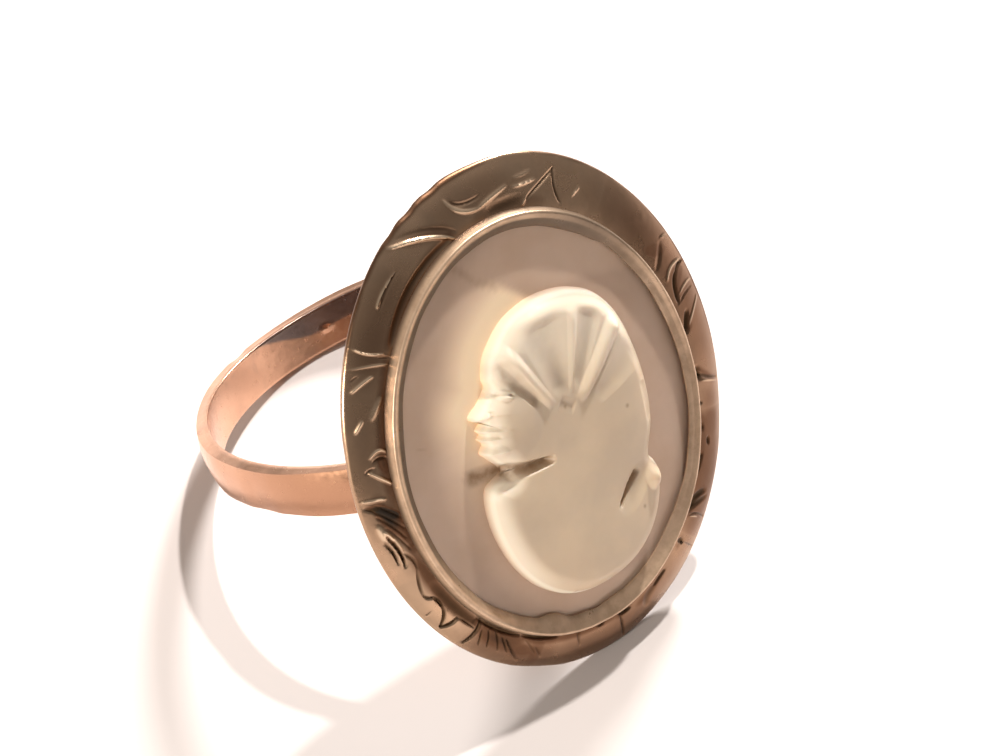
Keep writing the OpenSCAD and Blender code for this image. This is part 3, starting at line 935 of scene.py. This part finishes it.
# %% Its soft swellings
BUST_FORMS = [
    # across, up, half size across, half size up, turn in degrees, rise as a share of the relief
    (-0.34, 0.13, 0.17, 0.22, 10, 0.10),
    (-0.40, 0.44, 0.13, 0.12, 0, 0.06),
    (-0.47, 0.335, 0.07, 0.04, -20, 0.10),
    (-0.415, 0.285, 0.055, 0.038, 0, 0.12),
    (-0.535, 0.18, 0.075, 0.05, 20, 0.10),
    (-0.50, 0.065, 0.07, 0.035, 0, 0.10),
    (-0.50, 0.015, 0.06, 0.03, 0, 0.09),
    (-0.475, -0.06, 0.08, 0.06, 0, 0.10),
    (0.30, -0.75, 0.40, 0.30, 0, 0.10),
    (0.40, 0.05, 0.32, 0.40, 0, 0.10),
    (0.50, -0.45, 0.10, 0.19, -32, -0.16),
    (0.675, -0.40, 0.085, 0.10, 20, 0.30),
]
print(len(BUST_FORMS), "swellings on the bust")

# %% Its creases, specks and crack
BUST_CREASES = [
    # from and to, across and up, half width at both, depth (a ridge below zero), then stain and
    # painted shade
    (-0.46, 0.59, -0.09, 0.165, 0.065, 0.035, -0.15, 0.0),
    (-0.47, 0.49, -0.19, 0.19, 0.07, 0.04, 0.13, 0.30),
    (0.07, 0.76, 0.035, 0.21, 0.045, 0.025, -0.07, 0.0),
    (0.41, 0.66, 0.085, 0.165, 0.075, 0.04, -0.18, 0.0),
    (-0.17, 0.72, -0.03, 0.21, 0.20, 0.06, 0.16, 0.12),
    (0.21, 0.74, 0.06, 0.24, 0.11, 0.04, 0.13, 0.08),
    (0.55, 0.44, 0.20, 0.16, 0.13, 0.05, 0.07, 0.0),
    (-0.06, 0.19, 0.06, 0.14, 0.05, 0.05, 0.06, 0.2),
    (0.58, 0.22, 0.66, -0.05, 0.03, 0.05, 0.07, 0.0),
    # the cut under the chin and the slit by the shoulder: their stain is painted shade
    (-0.63, -0.225, -0.33, -0.195, 0.062, 0.058, 0.42, 1.0),
    (-0.42, -0.20, -0.08, -0.145, 0.070, 0.030, 0.36, 0.9),
    (0.54, -0.325, 0.375, -0.565, 0.036, 0.014, 0.30, 0.85),
    (-0.53, 0.040, -0.44, 0.045, 0.022, 0.016, 0.12, 0.0),
    (-0.47, 0.29, -0.36, 0.29, 0.018, 0.014, 0.10, 0.0),
    (-0.50, 0.20, -0.49, 0.135, 0.022, 0.016, 0.08, 0.0),
    (-0.56, 0.31, -0.47, 0.30, 0.035, 0.025, 0.10, 0.0),
]
CREASE_END = 0.16
STAIN_GAP = 0.85
SPECKS = [
    # across and up, radius: small dark pits in the shell
    (0.44, 0.085, 0.020),
    (0.58, -0.58, 0.018),
    (0.10, -1.04, 0.014),
    (-0.01, 0.155, 0.02),
    (-0.90, 0.02, 0.016),
]
SPECK_STAIN = 0.7
CRACK = [(-0.72, 1.085), (-0.60, 1.03), (-0.50, 0.955), (-0.36, 0.905)]
CRACK_HALF = 0.035
CRACK_STAIN = 0.35
print(len(BUST_CREASES), "creases and", len(SPECKS), "specks on the bust")

# %% [markdown]
# The outline's few points are joined by a smooth closed curve. The carving needs two measures of
# it: how deep a point lies inside it, and how far out it is in each direction from the middle.

# %% Measure the outline
OUTLINE_PARTS = 5


def smooth_loop(points, parts):
    """A closed smooth curve through points, with that many parts in each span."""
    count = len(points)
    made = []
    for i in range(count):
        before, start, end, after = (points[(i + k) % count] for k in (-1, 0, 1, 2))
        for s in np.arange(parts) / parts:
            made.append(0.5 * (2 * start + (end - before) * s
                               + (2 * before - 5 * start + 4 * end - after) * s**2
                               + (3 * start - before - 3 * end + after) * s**3))
    return np.array(made)


def depth_inside(points, loop):
    """How deep each point lies inside a closed loop, below zero outside it."""
    nearest = np.full(len(points), np.inf)
    inside = np.zeros(len(points), bool)
    for start, end in zip(loop, np.roll(loop, -1, 0)):
        gap, share = line_gap(points, start, end)
        nearest = np.minimum(nearest, gap)
        if start[1] != end[1]:
            level = (start[1] > points[:, 1]) != (end[1] > points[:, 1])
            rise = (points[:, 1] - start[1]) / (end[1] - start[1])
            inside ^= level & (points[:, 0] < start[0] + (end[0] - start[0]) * rise)
    return np.where(inside, nearest, -nearest)


def loop_reach(loop, turns):
    """Furthest crossing of the loop by a ray from the middle at each angle."""
    reach = np.zeros(len(turns))
    ray = np.column_stack([np.cos(turns), np.sin(turns)])
    for start, end in zip(loop, np.roll(loop, -1, 0)):
        side_a = ray[:, 0] * start[1] - ray[:, 1] * start[0]
        side_b = ray[:, 0] * end[1] - ray[:, 1] * end[0]
        share = side_a / np.where(side_a == side_b, 1, side_a - side_b)
        far = ((start + (end - start) * share[:, None]) * ray).sum(1)
        crosses = ((side_a > 0) != (side_b > 0)) & (far > 0)
        reach = np.where(crosses, np.maximum(reach, far), reach)
    return reach


bust_loop = smooth_loop(np.array(BUST_OUTLINE), OUTLINE_PARTS)
print("the bust's outline has", len(bust_loop), "points")

# %% [markdown]
# The relief is steep at its outline and nearly level on top, as a carver leaves it, so its edge
# is a quarter round and the rest a shallow dome. Swellings and creases are added to that. The
# dark specks and the fine crack hold old dirt, and the creases old dirt and painted shade, all
# kept as one stain.

# %% Height of the relief
def dome(x):
    """A round profile, 0 at the edge where x is 0 and level at the top where x is 1."""
    return np.sqrt(1 - (1 - np.clip(x, 0, 1)) ** 2)


def bust_height(points):
    """Height of the bust over the ground in mm, stain and painted shade from 0 to 1, and depth
    inside.
    """
    depth = depth_inside(points, bust_loop)
    form = EDGE_SHARE + (1 - EDGE_SHARE) * dome(depth / CROWN_REACH)
    for across, up, half_across, half_up, turn, rise in BUST_FORMS:
        c = math.cos(math.radians(turn))
        s = math.sin(math.radians(turn))
        local = points - (across, up)
        a = (local[:, 0] * c + local[:, 1] * s) / half_across
        b = (local[:, 1] * c - local[:, 0] * s) / half_up
        form = form + rise * bump(np.hypot(a, b))
    stain_and_shade = np.zeros(len(points))
    for x1, y1, x2, y2, width_1, width_2, deep, brown in BUST_CREASES:
        gap, share = line_gap(points, np.array((x1, y1)), np.array((x2, y2)))
        gap = gap / (width_1 + (width_2 - width_1) * share)
        fade = smooth_step(0, CREASE_END, share) * smooth_step(0, CREASE_END, 1 - share)
        form = form - deep * fade * bump(gap)
        stain_and_shade = np.maximum(stain_and_shade, brown * fade * bump(gap * STAIN_GAP))
    for across, up, radius in SPECKS:
        far = np.hypot(points[:, 0] - across, points[:, 1] - up)
        stain_and_shade = np.maximum(stain_and_shade, SPECK_STAIN * bump(far / radius))
    for start, end in zip(CRACK, CRACK[1:]):
        gap, share = line_gap(points, np.array(start), np.array(end))
        stain_and_shade = np.maximum(stain_and_shade, CRACK_STAIN * bump(gap / CRACK_HALF))
    edge = dome(depth * OPEN_B / RELIEF_EDGE_W)
    return np.where(depth > 0, RELIEF_H * edge * form, 0), stain_and_shade, depth


# %% [markdown]
# Each ring of the sleeve gets its place between the stone's edge, the bust's outline and the
# middle. The rings are crowded where the carving is steep. The ground is slightly domed and has
# tool marks, and the side goes straight down to a flat back.

# %% Carve the shell
CARVE_SPOKES = 720
GROUND_ROWS = 16
BUST_ROWS = 96
SIDE_ROWS = 3
# powers that crowd the rings towards the bust's outline, from the ground and from the bust
GROUND_CROWD = 1.4
BUST_CROWD = 1.35
# the tool marks' height in mm, how close they are across and up, and where they start
TOOL_MARKS = 0.012
MARKS_ACROSS = 7
MARKS_UP = 9
MARKS_START = 1
SHELL_WELD = 0.0005
stone_back = stone_lo[2] - HEAD_N
stone_edge_z = RIDGE_Z - LIP_DROP - LIP_T - STONE_GAP
shell_rows = 1 + SIDE_ROWS + GROUND_ROWS + BUST_ROWS + 1
shell, ring, angle = make_sleeve("cameo_shell", CARVE_SPOKES, shell_rows)
ray = np.column_stack([np.sin(angle), np.cos(angle)])
bust_r = OPEN_B * loop_reach(bust_loop, math.pi / 2 - angle + BUST_LEAN)
edge_r = STONE_HALF[0] * STONE_HALF[1] / np.hypot(STONE_HALF[1] * ray[:, 0],
                                                 STONE_HALF[0] * ray[:, 1])
ground_step = ring - 1 - SIDE_ROWS
bust_step = ground_step - GROUND_ROWS
to_edge = np.clip(1 - ground_step / GROUND_ROWS, 0, 1) ** GROUND_CROWD
to_outline = 1 - (1 - np.clip(1 - bust_step / BUST_ROWS, 0, 1)) ** BUST_CROWD
r = np.where(bust_step < 0, bust_r + to_edge * (edge_r - bust_r), bust_r * to_outline)
r = np.where(ground_step < 0, edge_r, r)
r = np.where(ring == 0, 0, r)
x, y = (ray * r[:, None]).T
c = math.cos(BUST_LEAN)
s = math.sin(BUST_LEAN)
shares = np.column_stack([x * c - y * s, x * s + y * c]) / OPEN_B
across, up = shares.T
height, stain_and_shade, depth = bust_height(shares)
height = np.where(bust_step >= 0, height, 0)
ground = GROUND_DOME * np.clip(1 - (r * STONE_HALF[0] / edge_r / OPEN_B) ** 2, 0, 1)
ripple = TOOL_MARKS * np.sin(across * MARKS_ACROSS + MARKS_START) * np.sin(up * MARKS_UP)
z = stone_edge_z + ground + height + np.where(ground_step > 0, ripple, 0)
side = np.clip((ring - 1) / SIDE_ROWS, 0, 1)
z = np.where(ground_step < 0, stone_back + side * (z - stone_back), z)
z = np.where(ring <= 1, stone_back, z)
set_vertex_places(shell.data, np.column_stack([x + HEAD_MIDDLE[0], y + HEAD_MIDDLE[1], z + HEAD_N]))
print("highest point of the carving", round(float(z.max()), 2), "mm over the border's edge")

# %% [markdown]
# Shell is a little translucent. Light from the left comes through the ground beside the bust,
# through the bust's thin edges and through its crown. Real scattering over such a distance
# would be slow and noisy, so that glow is painted: the carving leaves numbers that say where.

# %% Where a glow is painted on the shell
# the ground's painted glow: where it glows across, out from the bust in mm, from below, and up to a
# slant line
LEFT_FADE = (0.15, -0.35)
GLOW_REACH = (-2.1, 0.0)
GLOW_UP = (-0.6, 0.4)
GLOW_TOP = (0.78, 0.70)
GLOW_TOP_LEAN = 0.5
GLOW_GAIN = 1.4
# the bust's painted glow: a line just inside its outline, its left edge to some depth in mm, and
# its crown
RIM_AT = 0.12
RIM_HALF = 0.15
RIM_GLOW = 0.8
LEFT_GLOW = 0.6
LEFT_DEPTH = (0.9, 0.1)
CROWN_GLOW = 0.4
CROWN_FADE = (0.1, 0.6)
CROWN_LEAN = -0.2
deep_mm = depth * OPEN_B
left = smooth_step(*LEFT_FADE, across)
glow = smooth_step(*GLOW_REACH, deep_mm) * left * smooth_step(*GLOW_UP, up)
glow = np.clip(GLOW_GAIN * glow, 0, 1) * smooth_step(*GLOW_TOP, up + GLOW_TOP_LEAN * across)
rim = RIM_GLOW * bump((deep_mm - RIM_AT) / RIM_HALF)
left_edge = LEFT_GLOW * left * smooth_step(*LEFT_DEPTH, deep_mm)
crown = CROWN_GLOW * smooth_step(*CROWN_FADE, up + CROWN_LEAN * across)
add_attribute(shell.data, "relief", height / RELIEF_H)
add_attribute(shell.data, "stain_and_shade", stain_and_shade)
add_attribute(shell.data, "glow", glow)
add_attribute(shell.data, "edge_glow", np.maximum(np.maximum(rim, left_edge), crown))
close_sleeve(shell, SHELL_WELD)
print("points lit through:", int((glow > 0.5).sum()), "on the ground's side")

# %% [markdown]
# ## Lay the pieces down
# Each piece gets its place in its mesh and rides on the ring's body, and the CAD node whose
# shape it refines is hidden. The band, border and bezel are soldered, so they share one node.

# %% Finish the pieces
for piece in (band, border, bezel):
    finish_piece(piece, "rose_gold", "ring_mount")
finish_piece(shell, "shell", "cameo")

# %% [markdown]
# ## Helpers for finishes
# A finish is a small tree of nodes. These short helpers add a node, join two sockets and make a
# noise on Object coordinates, so that each finish below reads as a list of what it mixes. The
# room behind the ring is such a tree too.

# %% Node helpers
class Finish:
    """A tree of nodes, with short calls for what every finish needs."""

    def __init__(self, owner, shader="Principled BSDF"):
        owner.use_nodes = True
        self.owner = owner
        self.nodes = owner.node_tree.nodes
        self.links = owner.node_tree.links
        self.shader = self.nodes[shader]
        self.places = self.nodes.new("ShaderNodeTexCoord").outputs

    def join(self, source, target):
        """Links a socket, or sets a plain value."""
        if isinstance(source, bpy.types.NodeSocket):
            self.links.new(source, target)
        else:
            target.default_value = source

    def give(self, **values):
        """Gives the shader its values: the names are its sockets', with _ for a space."""
        for name, value in values.items():
            self.join(value, self.shader.inputs[name.replace("_", " ")])

    def attribute(self, name):
        """A number that the mesh carries under this name."""
        node = self.nodes.new("ShaderNodeAttribute")
        node.attribute_name = name
        return node.outputs["Fac"]

    def noise(self, size_mm, detail=4, rough=0.5):
        """Noise whose patches are about that many mm across."""
        node = self.nodes.new("ShaderNodeTexNoise")
        self.join(self.places["Object"], node.inputs["Vector"])
        node.inputs["Scale"].default_value = 1 / (size_mm * MM)
        node.inputs["Detail"].default_value = detail
        node.inputs["Roughness"].default_value = rough
        return node.outputs["Fac"]

    def spread(self, value, low, high, to_low=0.0, to_high=1.0):
        """Takes a value from one range to another, and keeps it there."""
        node = self.nodes.new("ShaderNodeMapRange")
        for name, number in (("Value", value), ("From Min", low), ("From Max", high),
                             ("To Min", to_low), ("To Max", to_high)):
            self.join(number, node.inputs[name])
        return node.outputs["Result"]

    def math(self, operation, a, b):
        """One sum of two values."""
        node = self.nodes.new("ShaderNodeMath")
        node.operation = operation
        self.join(a, node.inputs[0])
        self.join(b, node.inputs[1])
        return node.outputs[0]

    def mix(self, share, a, b):
        """A colour that is a where share is 0 and b where it is 1."""
        node = self.nodes.new("ShaderNodeMix")
        node.data_type = "RGBA"
        self.join(share, node.inputs["Factor"])
        for colour, socket in ((a, "A"), (b, "B")):
            target = next(i for i in node.inputs if i.name == socket and i.type == "RGBA")
            self.join((*colour, 1) if isinstance(colour, tuple) else colour, target)
        return next(o for o in node.outputs if o.type == "RGBA")

    def ramp(self, value, *stops):
        """A colour that goes from one stop (place, colour) to another."""
        node = self.nodes.new("ShaderNodeValToRGB")
        self.join(value, node.inputs["Fac"])
        for element, (place, colour) in zip(node.color_ramp.elements, stops):
            element.position = place
            element.color = (*colour, 1)
        return node.outputs["Color"]

    def bump(self, height, distance_mm, strength, before=None):
        """Small relief, laid over another one where that is given."""
        node = self.nodes.new("ShaderNodeBump")
        node.inputs["Distance"].default_value = distance_mm * MM
        node.inputs["Strength"].default_value = strength
        self.join(height, node.inputs["Height"])
        if before is not None:
            self.join(before, node.inputs["Normal"])
        return node.outputs["Normal"]

    def put_on(self, piece):
        """Makes this the piece's only material."""
        piece.data.materials.clear()
        piece.data.materials.append(self.owner)
        print(self.owner.name, "on", piece.name, "is made of", len(self.nodes), "nodes")


def new_finish(name):
    """A finish for a piece."""
    return Finish(bpy.data.materials.new(name))


# %% [markdown]
# ## Rose gold
# Rose gold is gold with copper. The band is polished by wear, so it is bright and pink, with
# soft hammer marks and fine scratches. It could be one plain metal, but real gold is a little
# cloudy where skin has dulled it. So two pinks are mixed by a coarse noise, then come the dull
# patches, the painted shade on stretches of the band, and the soot next to the bead.

# %% The polished band
PINK_GOLD = (0.75, 0.445, 0.30)
DEEP_GOLD = (0.65, 0.375, 0.25)
DULLED_GOLD = (0.60, 0.36, 0.25)
SHADED_GOLD = (0.46, 0.25, 0.155)
SOOT = (0.22, 0.165, 0.15)
polished = new_finish("polished_rose_gold")
cloudy = polished.noise(size_mm=2.2, detail=3)
fine = polished.noise(size_mm=0.25, detail=3)
gold = polished.mix(polished.spread(cloudy, 0.35, 0.65), PINK_GOLD, DEEP_GOLD)
dulled = polished.spread(polished.noise(size_mm=0.8, detail=3), 0.56, 0.72)
gold = polished.mix(dulled, gold, DULLED_GOLD)
# painted shade on the near side and inside the far half
gold = polished.mix(polished.attribute("band_shade"), gold, SHADED_GOLD)
gold = polished.mix(polished.attribute("soot"), gold, SOOT)
hammered = polished.bump(polished.noise(size_mm=1.1, detail=2), distance_mm=0.03, strength=0.6)
scratched = polished.bump(fine, distance_mm=0.003, strength=0.3, before=hammered)
polished.give(Base_Color=gold, Metallic=1.0, Normal=scratched,
              Roughness=polished.spread(fine, 0.3, 0.7, 0.20, 0.28))
polished.put_on(band)

# %% [markdown]
# The border is the same gold under a century of tarnish. A clean metal with dirt only in its
# cuts would look new, so the painted tarnish and painted shade brown it first, to near black
# where they are thickest, and below zero they leave bare gold with a painted reflection. Then
# the cuts are darkened and the ridges between them rubbed bright. Thick tarnish is also rougher.

# %% The tarnished border
BROWN_GOLD = (0.53, 0.35, 0.23)
OLD_GOLD = (0.43, 0.295, 0.20)
TARNISH_SHADE_BROWN = (0.17, 0.088, 0.05)
TARNISH_SHADE_BLACK = (0.05, 0.038, 0.03)
BARE_GOLD_SHEEN = (0.80, 0.56, 0.36)
CUT_DIRT = (0.07, 0.04, 0.02)
RUBBED_GOLD = (0.80, 0.60, 0.42)
tarnished = new_finish("tarnished_rose_gold")
cut = tarnished.attribute("cut")
patch = tarnished.noise(size_mm=1.6, detail=5, rough=0.55)
grain = tarnished.noise(size_mm=0.12, detail=5, rough=0.6)
brown = tarnished.attribute("tarnish_and_shade")
gold = tarnished.mix(tarnished.spread(patch, 0.38, 0.62), BROWN_GOLD, OLD_GOLD)
gold = tarnished.mix(tarnished.spread(brown, 0, 0.75), gold, TARNISH_SHADE_BROWN)
gold = tarnished.mix(tarnished.spread(brown, 0.95, 1.35), gold, TARNISH_SHADE_BLACK)
gold = tarnished.mix(tarnished.spread(brown, 0, -1), gold, BARE_GOLD_SHEEN)
gold = tarnished.mix(tarnished.spread(cut, 0.1, 0.8), gold, CUT_DIRT)
gold = tarnished.mix(tarnished.spread(cut, -0.1, -0.6), gold, RUBBED_GOLD)
rough = tarnished.math("ADD", tarnished.spread(patch, 0.3, 0.7, 0.24, 0.34),
                       tarnished.spread(brown, 0.6, 1.0, 0.0, 0.3))
worn = tarnished.bump(tarnished.noise(size_mm=0.5, detail=3), distance_mm=0.02, strength=0.5)
grained = tarnished.bump(grain, distance_mm=0.003, strength=0.4, before=worn)
tarnished.give(Base_Color=gold, Metallic=1.0, Normal=grained, Roughness=rough)
tarnished.put_on(border)

# %% [markdown]
# The burnished lip was pressed with a hard tool, so it is brighter than the border but dented
# and a little greasy. Only half of it mirrors as metal does, because a film of dirt lies over it.
# The slope at the upper left and a stretch of the ridge get painted shade, and the bezel's foot is
# browner.

# %% The burnished bezel
BRIGHT_LIP = (0.68, 0.48, 0.33)
DULL_LIP = (0.54, 0.37, 0.25)
SHADED_LIP = (0.09, 0.062, 0.04)
BROWN_FOOT = (0.16, 0.10, 0.065)
burnished = new_finish("burnished_rose_gold")
patch = burnished.noise(size_mm=0.8, detail=5, rough=0.6)
grain = burnished.noise(size_mm=0.1, detail=4, rough=0.6)
gold = burnished.mix(burnished.spread(patch, 0.42, 0.62), BRIGHT_LIP, DULL_LIP)
gold = burnished.mix(burnished.attribute("shade"), gold, SHADED_LIP)
gold = burnished.mix(burnished.attribute("low"), gold, BROWN_FOOT)
dents = burnished.bump(burnished.noise(size_mm=0.45, detail=3), distance_mm=0.03, strength=0.7)
grained = burnished.bump(grain, distance_mm=0.005, strength=0.5, before=dents)
burnished.give(Base_Color=gold, Metallic=0.5, Normal=grained,
               Roughness=burnished.spread(patch, 0.3, 0.7, 0.26, 0.42))
burnished.put_on(bezel)

# %% [markdown]
# ## Shell
# The pale layer is cream and lets a little light in; its thin edges and crown get a painted glow.
# The ground is pinkish beige, with a painted glow beside the bust. Old dirt and painted shade
# darken the deep cuts. A painted picture could show all that, but it would not follow the carving,
# so the numbers that the carving left on the mesh say where each of them goes. Subsurface
# scattering softens the small shadows.

# %% The carved shell's finish
PINK_BEIGE = (0.55, 0.385, 0.28)
PALE_BEIGE = (0.62, 0.45, 0.345)
LIT_THROUGH = (1.0, 0.77, 0.55)
WARM_CREAM = (0.69, 0.54, 0.385)
GREY_CREAM = (0.61, 0.48, 0.35)
GLOW_CREAM = (1.0, 0.93, 0.80)
DIRT_AND_SHADE = (0.27, 0.15, 0.075)
carved = new_finish("carved_shell")
clouds = carved.noise(size_mm=2.6, detail=4)
fine = carved.noise(size_mm=0.3, detail=5, rough=0.55)
ground = carved.mix(carved.spread(clouds, 0.35, 0.65), PINK_BEIGE, PALE_BEIGE)
# painted glow on the ground beside the bust
ground = carved.mix(carved.attribute("glow"), ground, LIT_THROUGH)
cream = carved.mix(carved.spread(clouds, 0.4, 0.65), WARM_CREAM, GREY_CREAM)
# painted glow on the bust's edges and crown
cream = carved.mix(carved.attribute("edge_glow"), cream, GLOW_CREAM)
layered = carved.mix(carved.spread(carved.attribute("relief"), 0.03, 0.3), ground, cream)
blotches = carved.spread(carved.noise(size_mm=0.5, detail=4), 0.35, 0.6, 0.55, 1.0)
# old dirt and painted shade in the cuts
dirt_and_shade_share = carved.math("MULTIPLY", carved.attribute("stain_and_shade"), blotches)
carved.give(Base_Color=carved.mix(dirt_and_shade_share, layered, DIRT_AND_SHADE),
            Subsurface_Weight=0.25, Subsurface_Radius=(1.0, 0.6, 0.35),
            Subsurface_Scale=0.5 * MM, Roughness=carved.spread(fine, 0.3, 0.7, 0.38, 0.5),
            Normal=carved.bump(fine, distance_mm=0.01, strength=0.35))
carved.put_on(shell)

# %% [markdown]
# ## Floor
# The ring lies on plain paper that the light burns out to white. The paper is given a middle
# grey, and strong lamps bring it to white, because then its shadows stay deep: white paper would
# throw so much light back that they would wash out.

# %% Floor
FLOOR_SIZE = 500 * MM
PAPER = (0.66, 0.60, 0.58, 1)
start_piece()
bpy.ops.mesh.primitive_plane_add(size=FLOOR_SIZE, location=(0, 0, 0))
floor = bpy.context.object
floor.name = "floor"
paper = new_finish("white_paper")
paper.give(Base_Color=PAPER, Roughness=0.9)
paper.put_on(floor)

# %% [markdown]
# ## Light
# Two lamps stand one over the other behind the ring and to the right: the high one draws the
# band's thin shadow, and the low one the head's darker shadow. A window low at the left grazes
# the shell: it lights the bust's left edges, and the lip keeps it off the ground next to it.
# Lamps in the shape of a disk give soft shadows, softer the larger they are.

# %% Lamps
LAMPS = [
    # name, azimuth, elevation, distance in mm, size in mm, watts, colour
    ("high_lamp", 119.4, 59.5, 600, 24, 3.60, (1.0, 0.97, 0.93)),
    ("low_lamp", 122.5, 32.5, 400, 80, 2.80, (1.0, 0.98, 0.95)),
    ("left_window", -85, 17, 400, 80, 1.1, (1.0, 0.93, 0.82)),
]
for name, azimuth, elevation, distance, size, watts, colour in LAMPS:
    data = bpy.data.lights.new(name, "AREA")
    data.shape = "DISK"
    data.size = size * MM
    data.energy = watts
    data.color = colour
    lamp = bpy.data.objects.new(name, data)
    bpy.context.scene.collection.objects.link(lamp)
    toward = direction(math.radians(azimuth), math.radians(elevation))
    lamp.location = toward * distance * MM
    lamp.rotation_euler = (-toward).to_track_quat("-Z", "Y").to_euler()
    print(name, "at", [round(value / MM) for value in lamp.location], "mm")

# %% [markdown]
# ## The room
# Metal is only as good as what it mirrors, and the border mirrors the room. A room of one grey
# would leave the gold flat, so the front half is dim all the way up, and the back half is bright
# near the table, like a wall with light on it, and dim above. The camera itself sees only a pale
# backdrop instead.

# %% The room
FRONT_LOW = (0.22, 0.20, 0.18)
FRONT_HIGH = (0.30, 0.285, 0.27)
BACK_LOW = (0.85, 0.82, 0.78)
BACK_HIGH = (0.26, 0.245, 0.23)
BACKDROP = (0.95, 0.93, 0.91)
room = Finish(bpy.data.worlds.new("room"), "Background")
bpy.context.scene.world = room.owner
axes = room.nodes.new("ShaderNodeSeparateXYZ")
room.join(room.places["Generated"], axes.inputs["Vector"])
front = room.ramp(axes.outputs["Z"], (0.05, FRONT_LOW), (0.85, FRONT_HIGH))
back = room.ramp(axes.outputs["Z"], (0.08, BACK_LOW), (0.3, BACK_HIGH))
walls = room.mix(room.spread(axes.outputs["Y"], -0.3, 0.5), front, back)
seen = room.nodes.new("ShaderNodeLightPath").outputs["Is Camera Ray"]
room.give(Color=room.mix(seen, walls, BACKDROP), Strength=1.0)
print("the room is made of", len(room.nodes), "nodes")

# %% [markdown]
# ## The photo's brightness
# The standard view keeps the paper burned out to white, as it is in the photo.

# %% View settings
view_settings = bpy.context.scene.view_settings
view_settings.view_transform = "Standard"
view_settings.look = "None"
view_settings.exposure = 0.0
print("view:", view_settings.view_transform, "at exposure", view_settings.exposure)
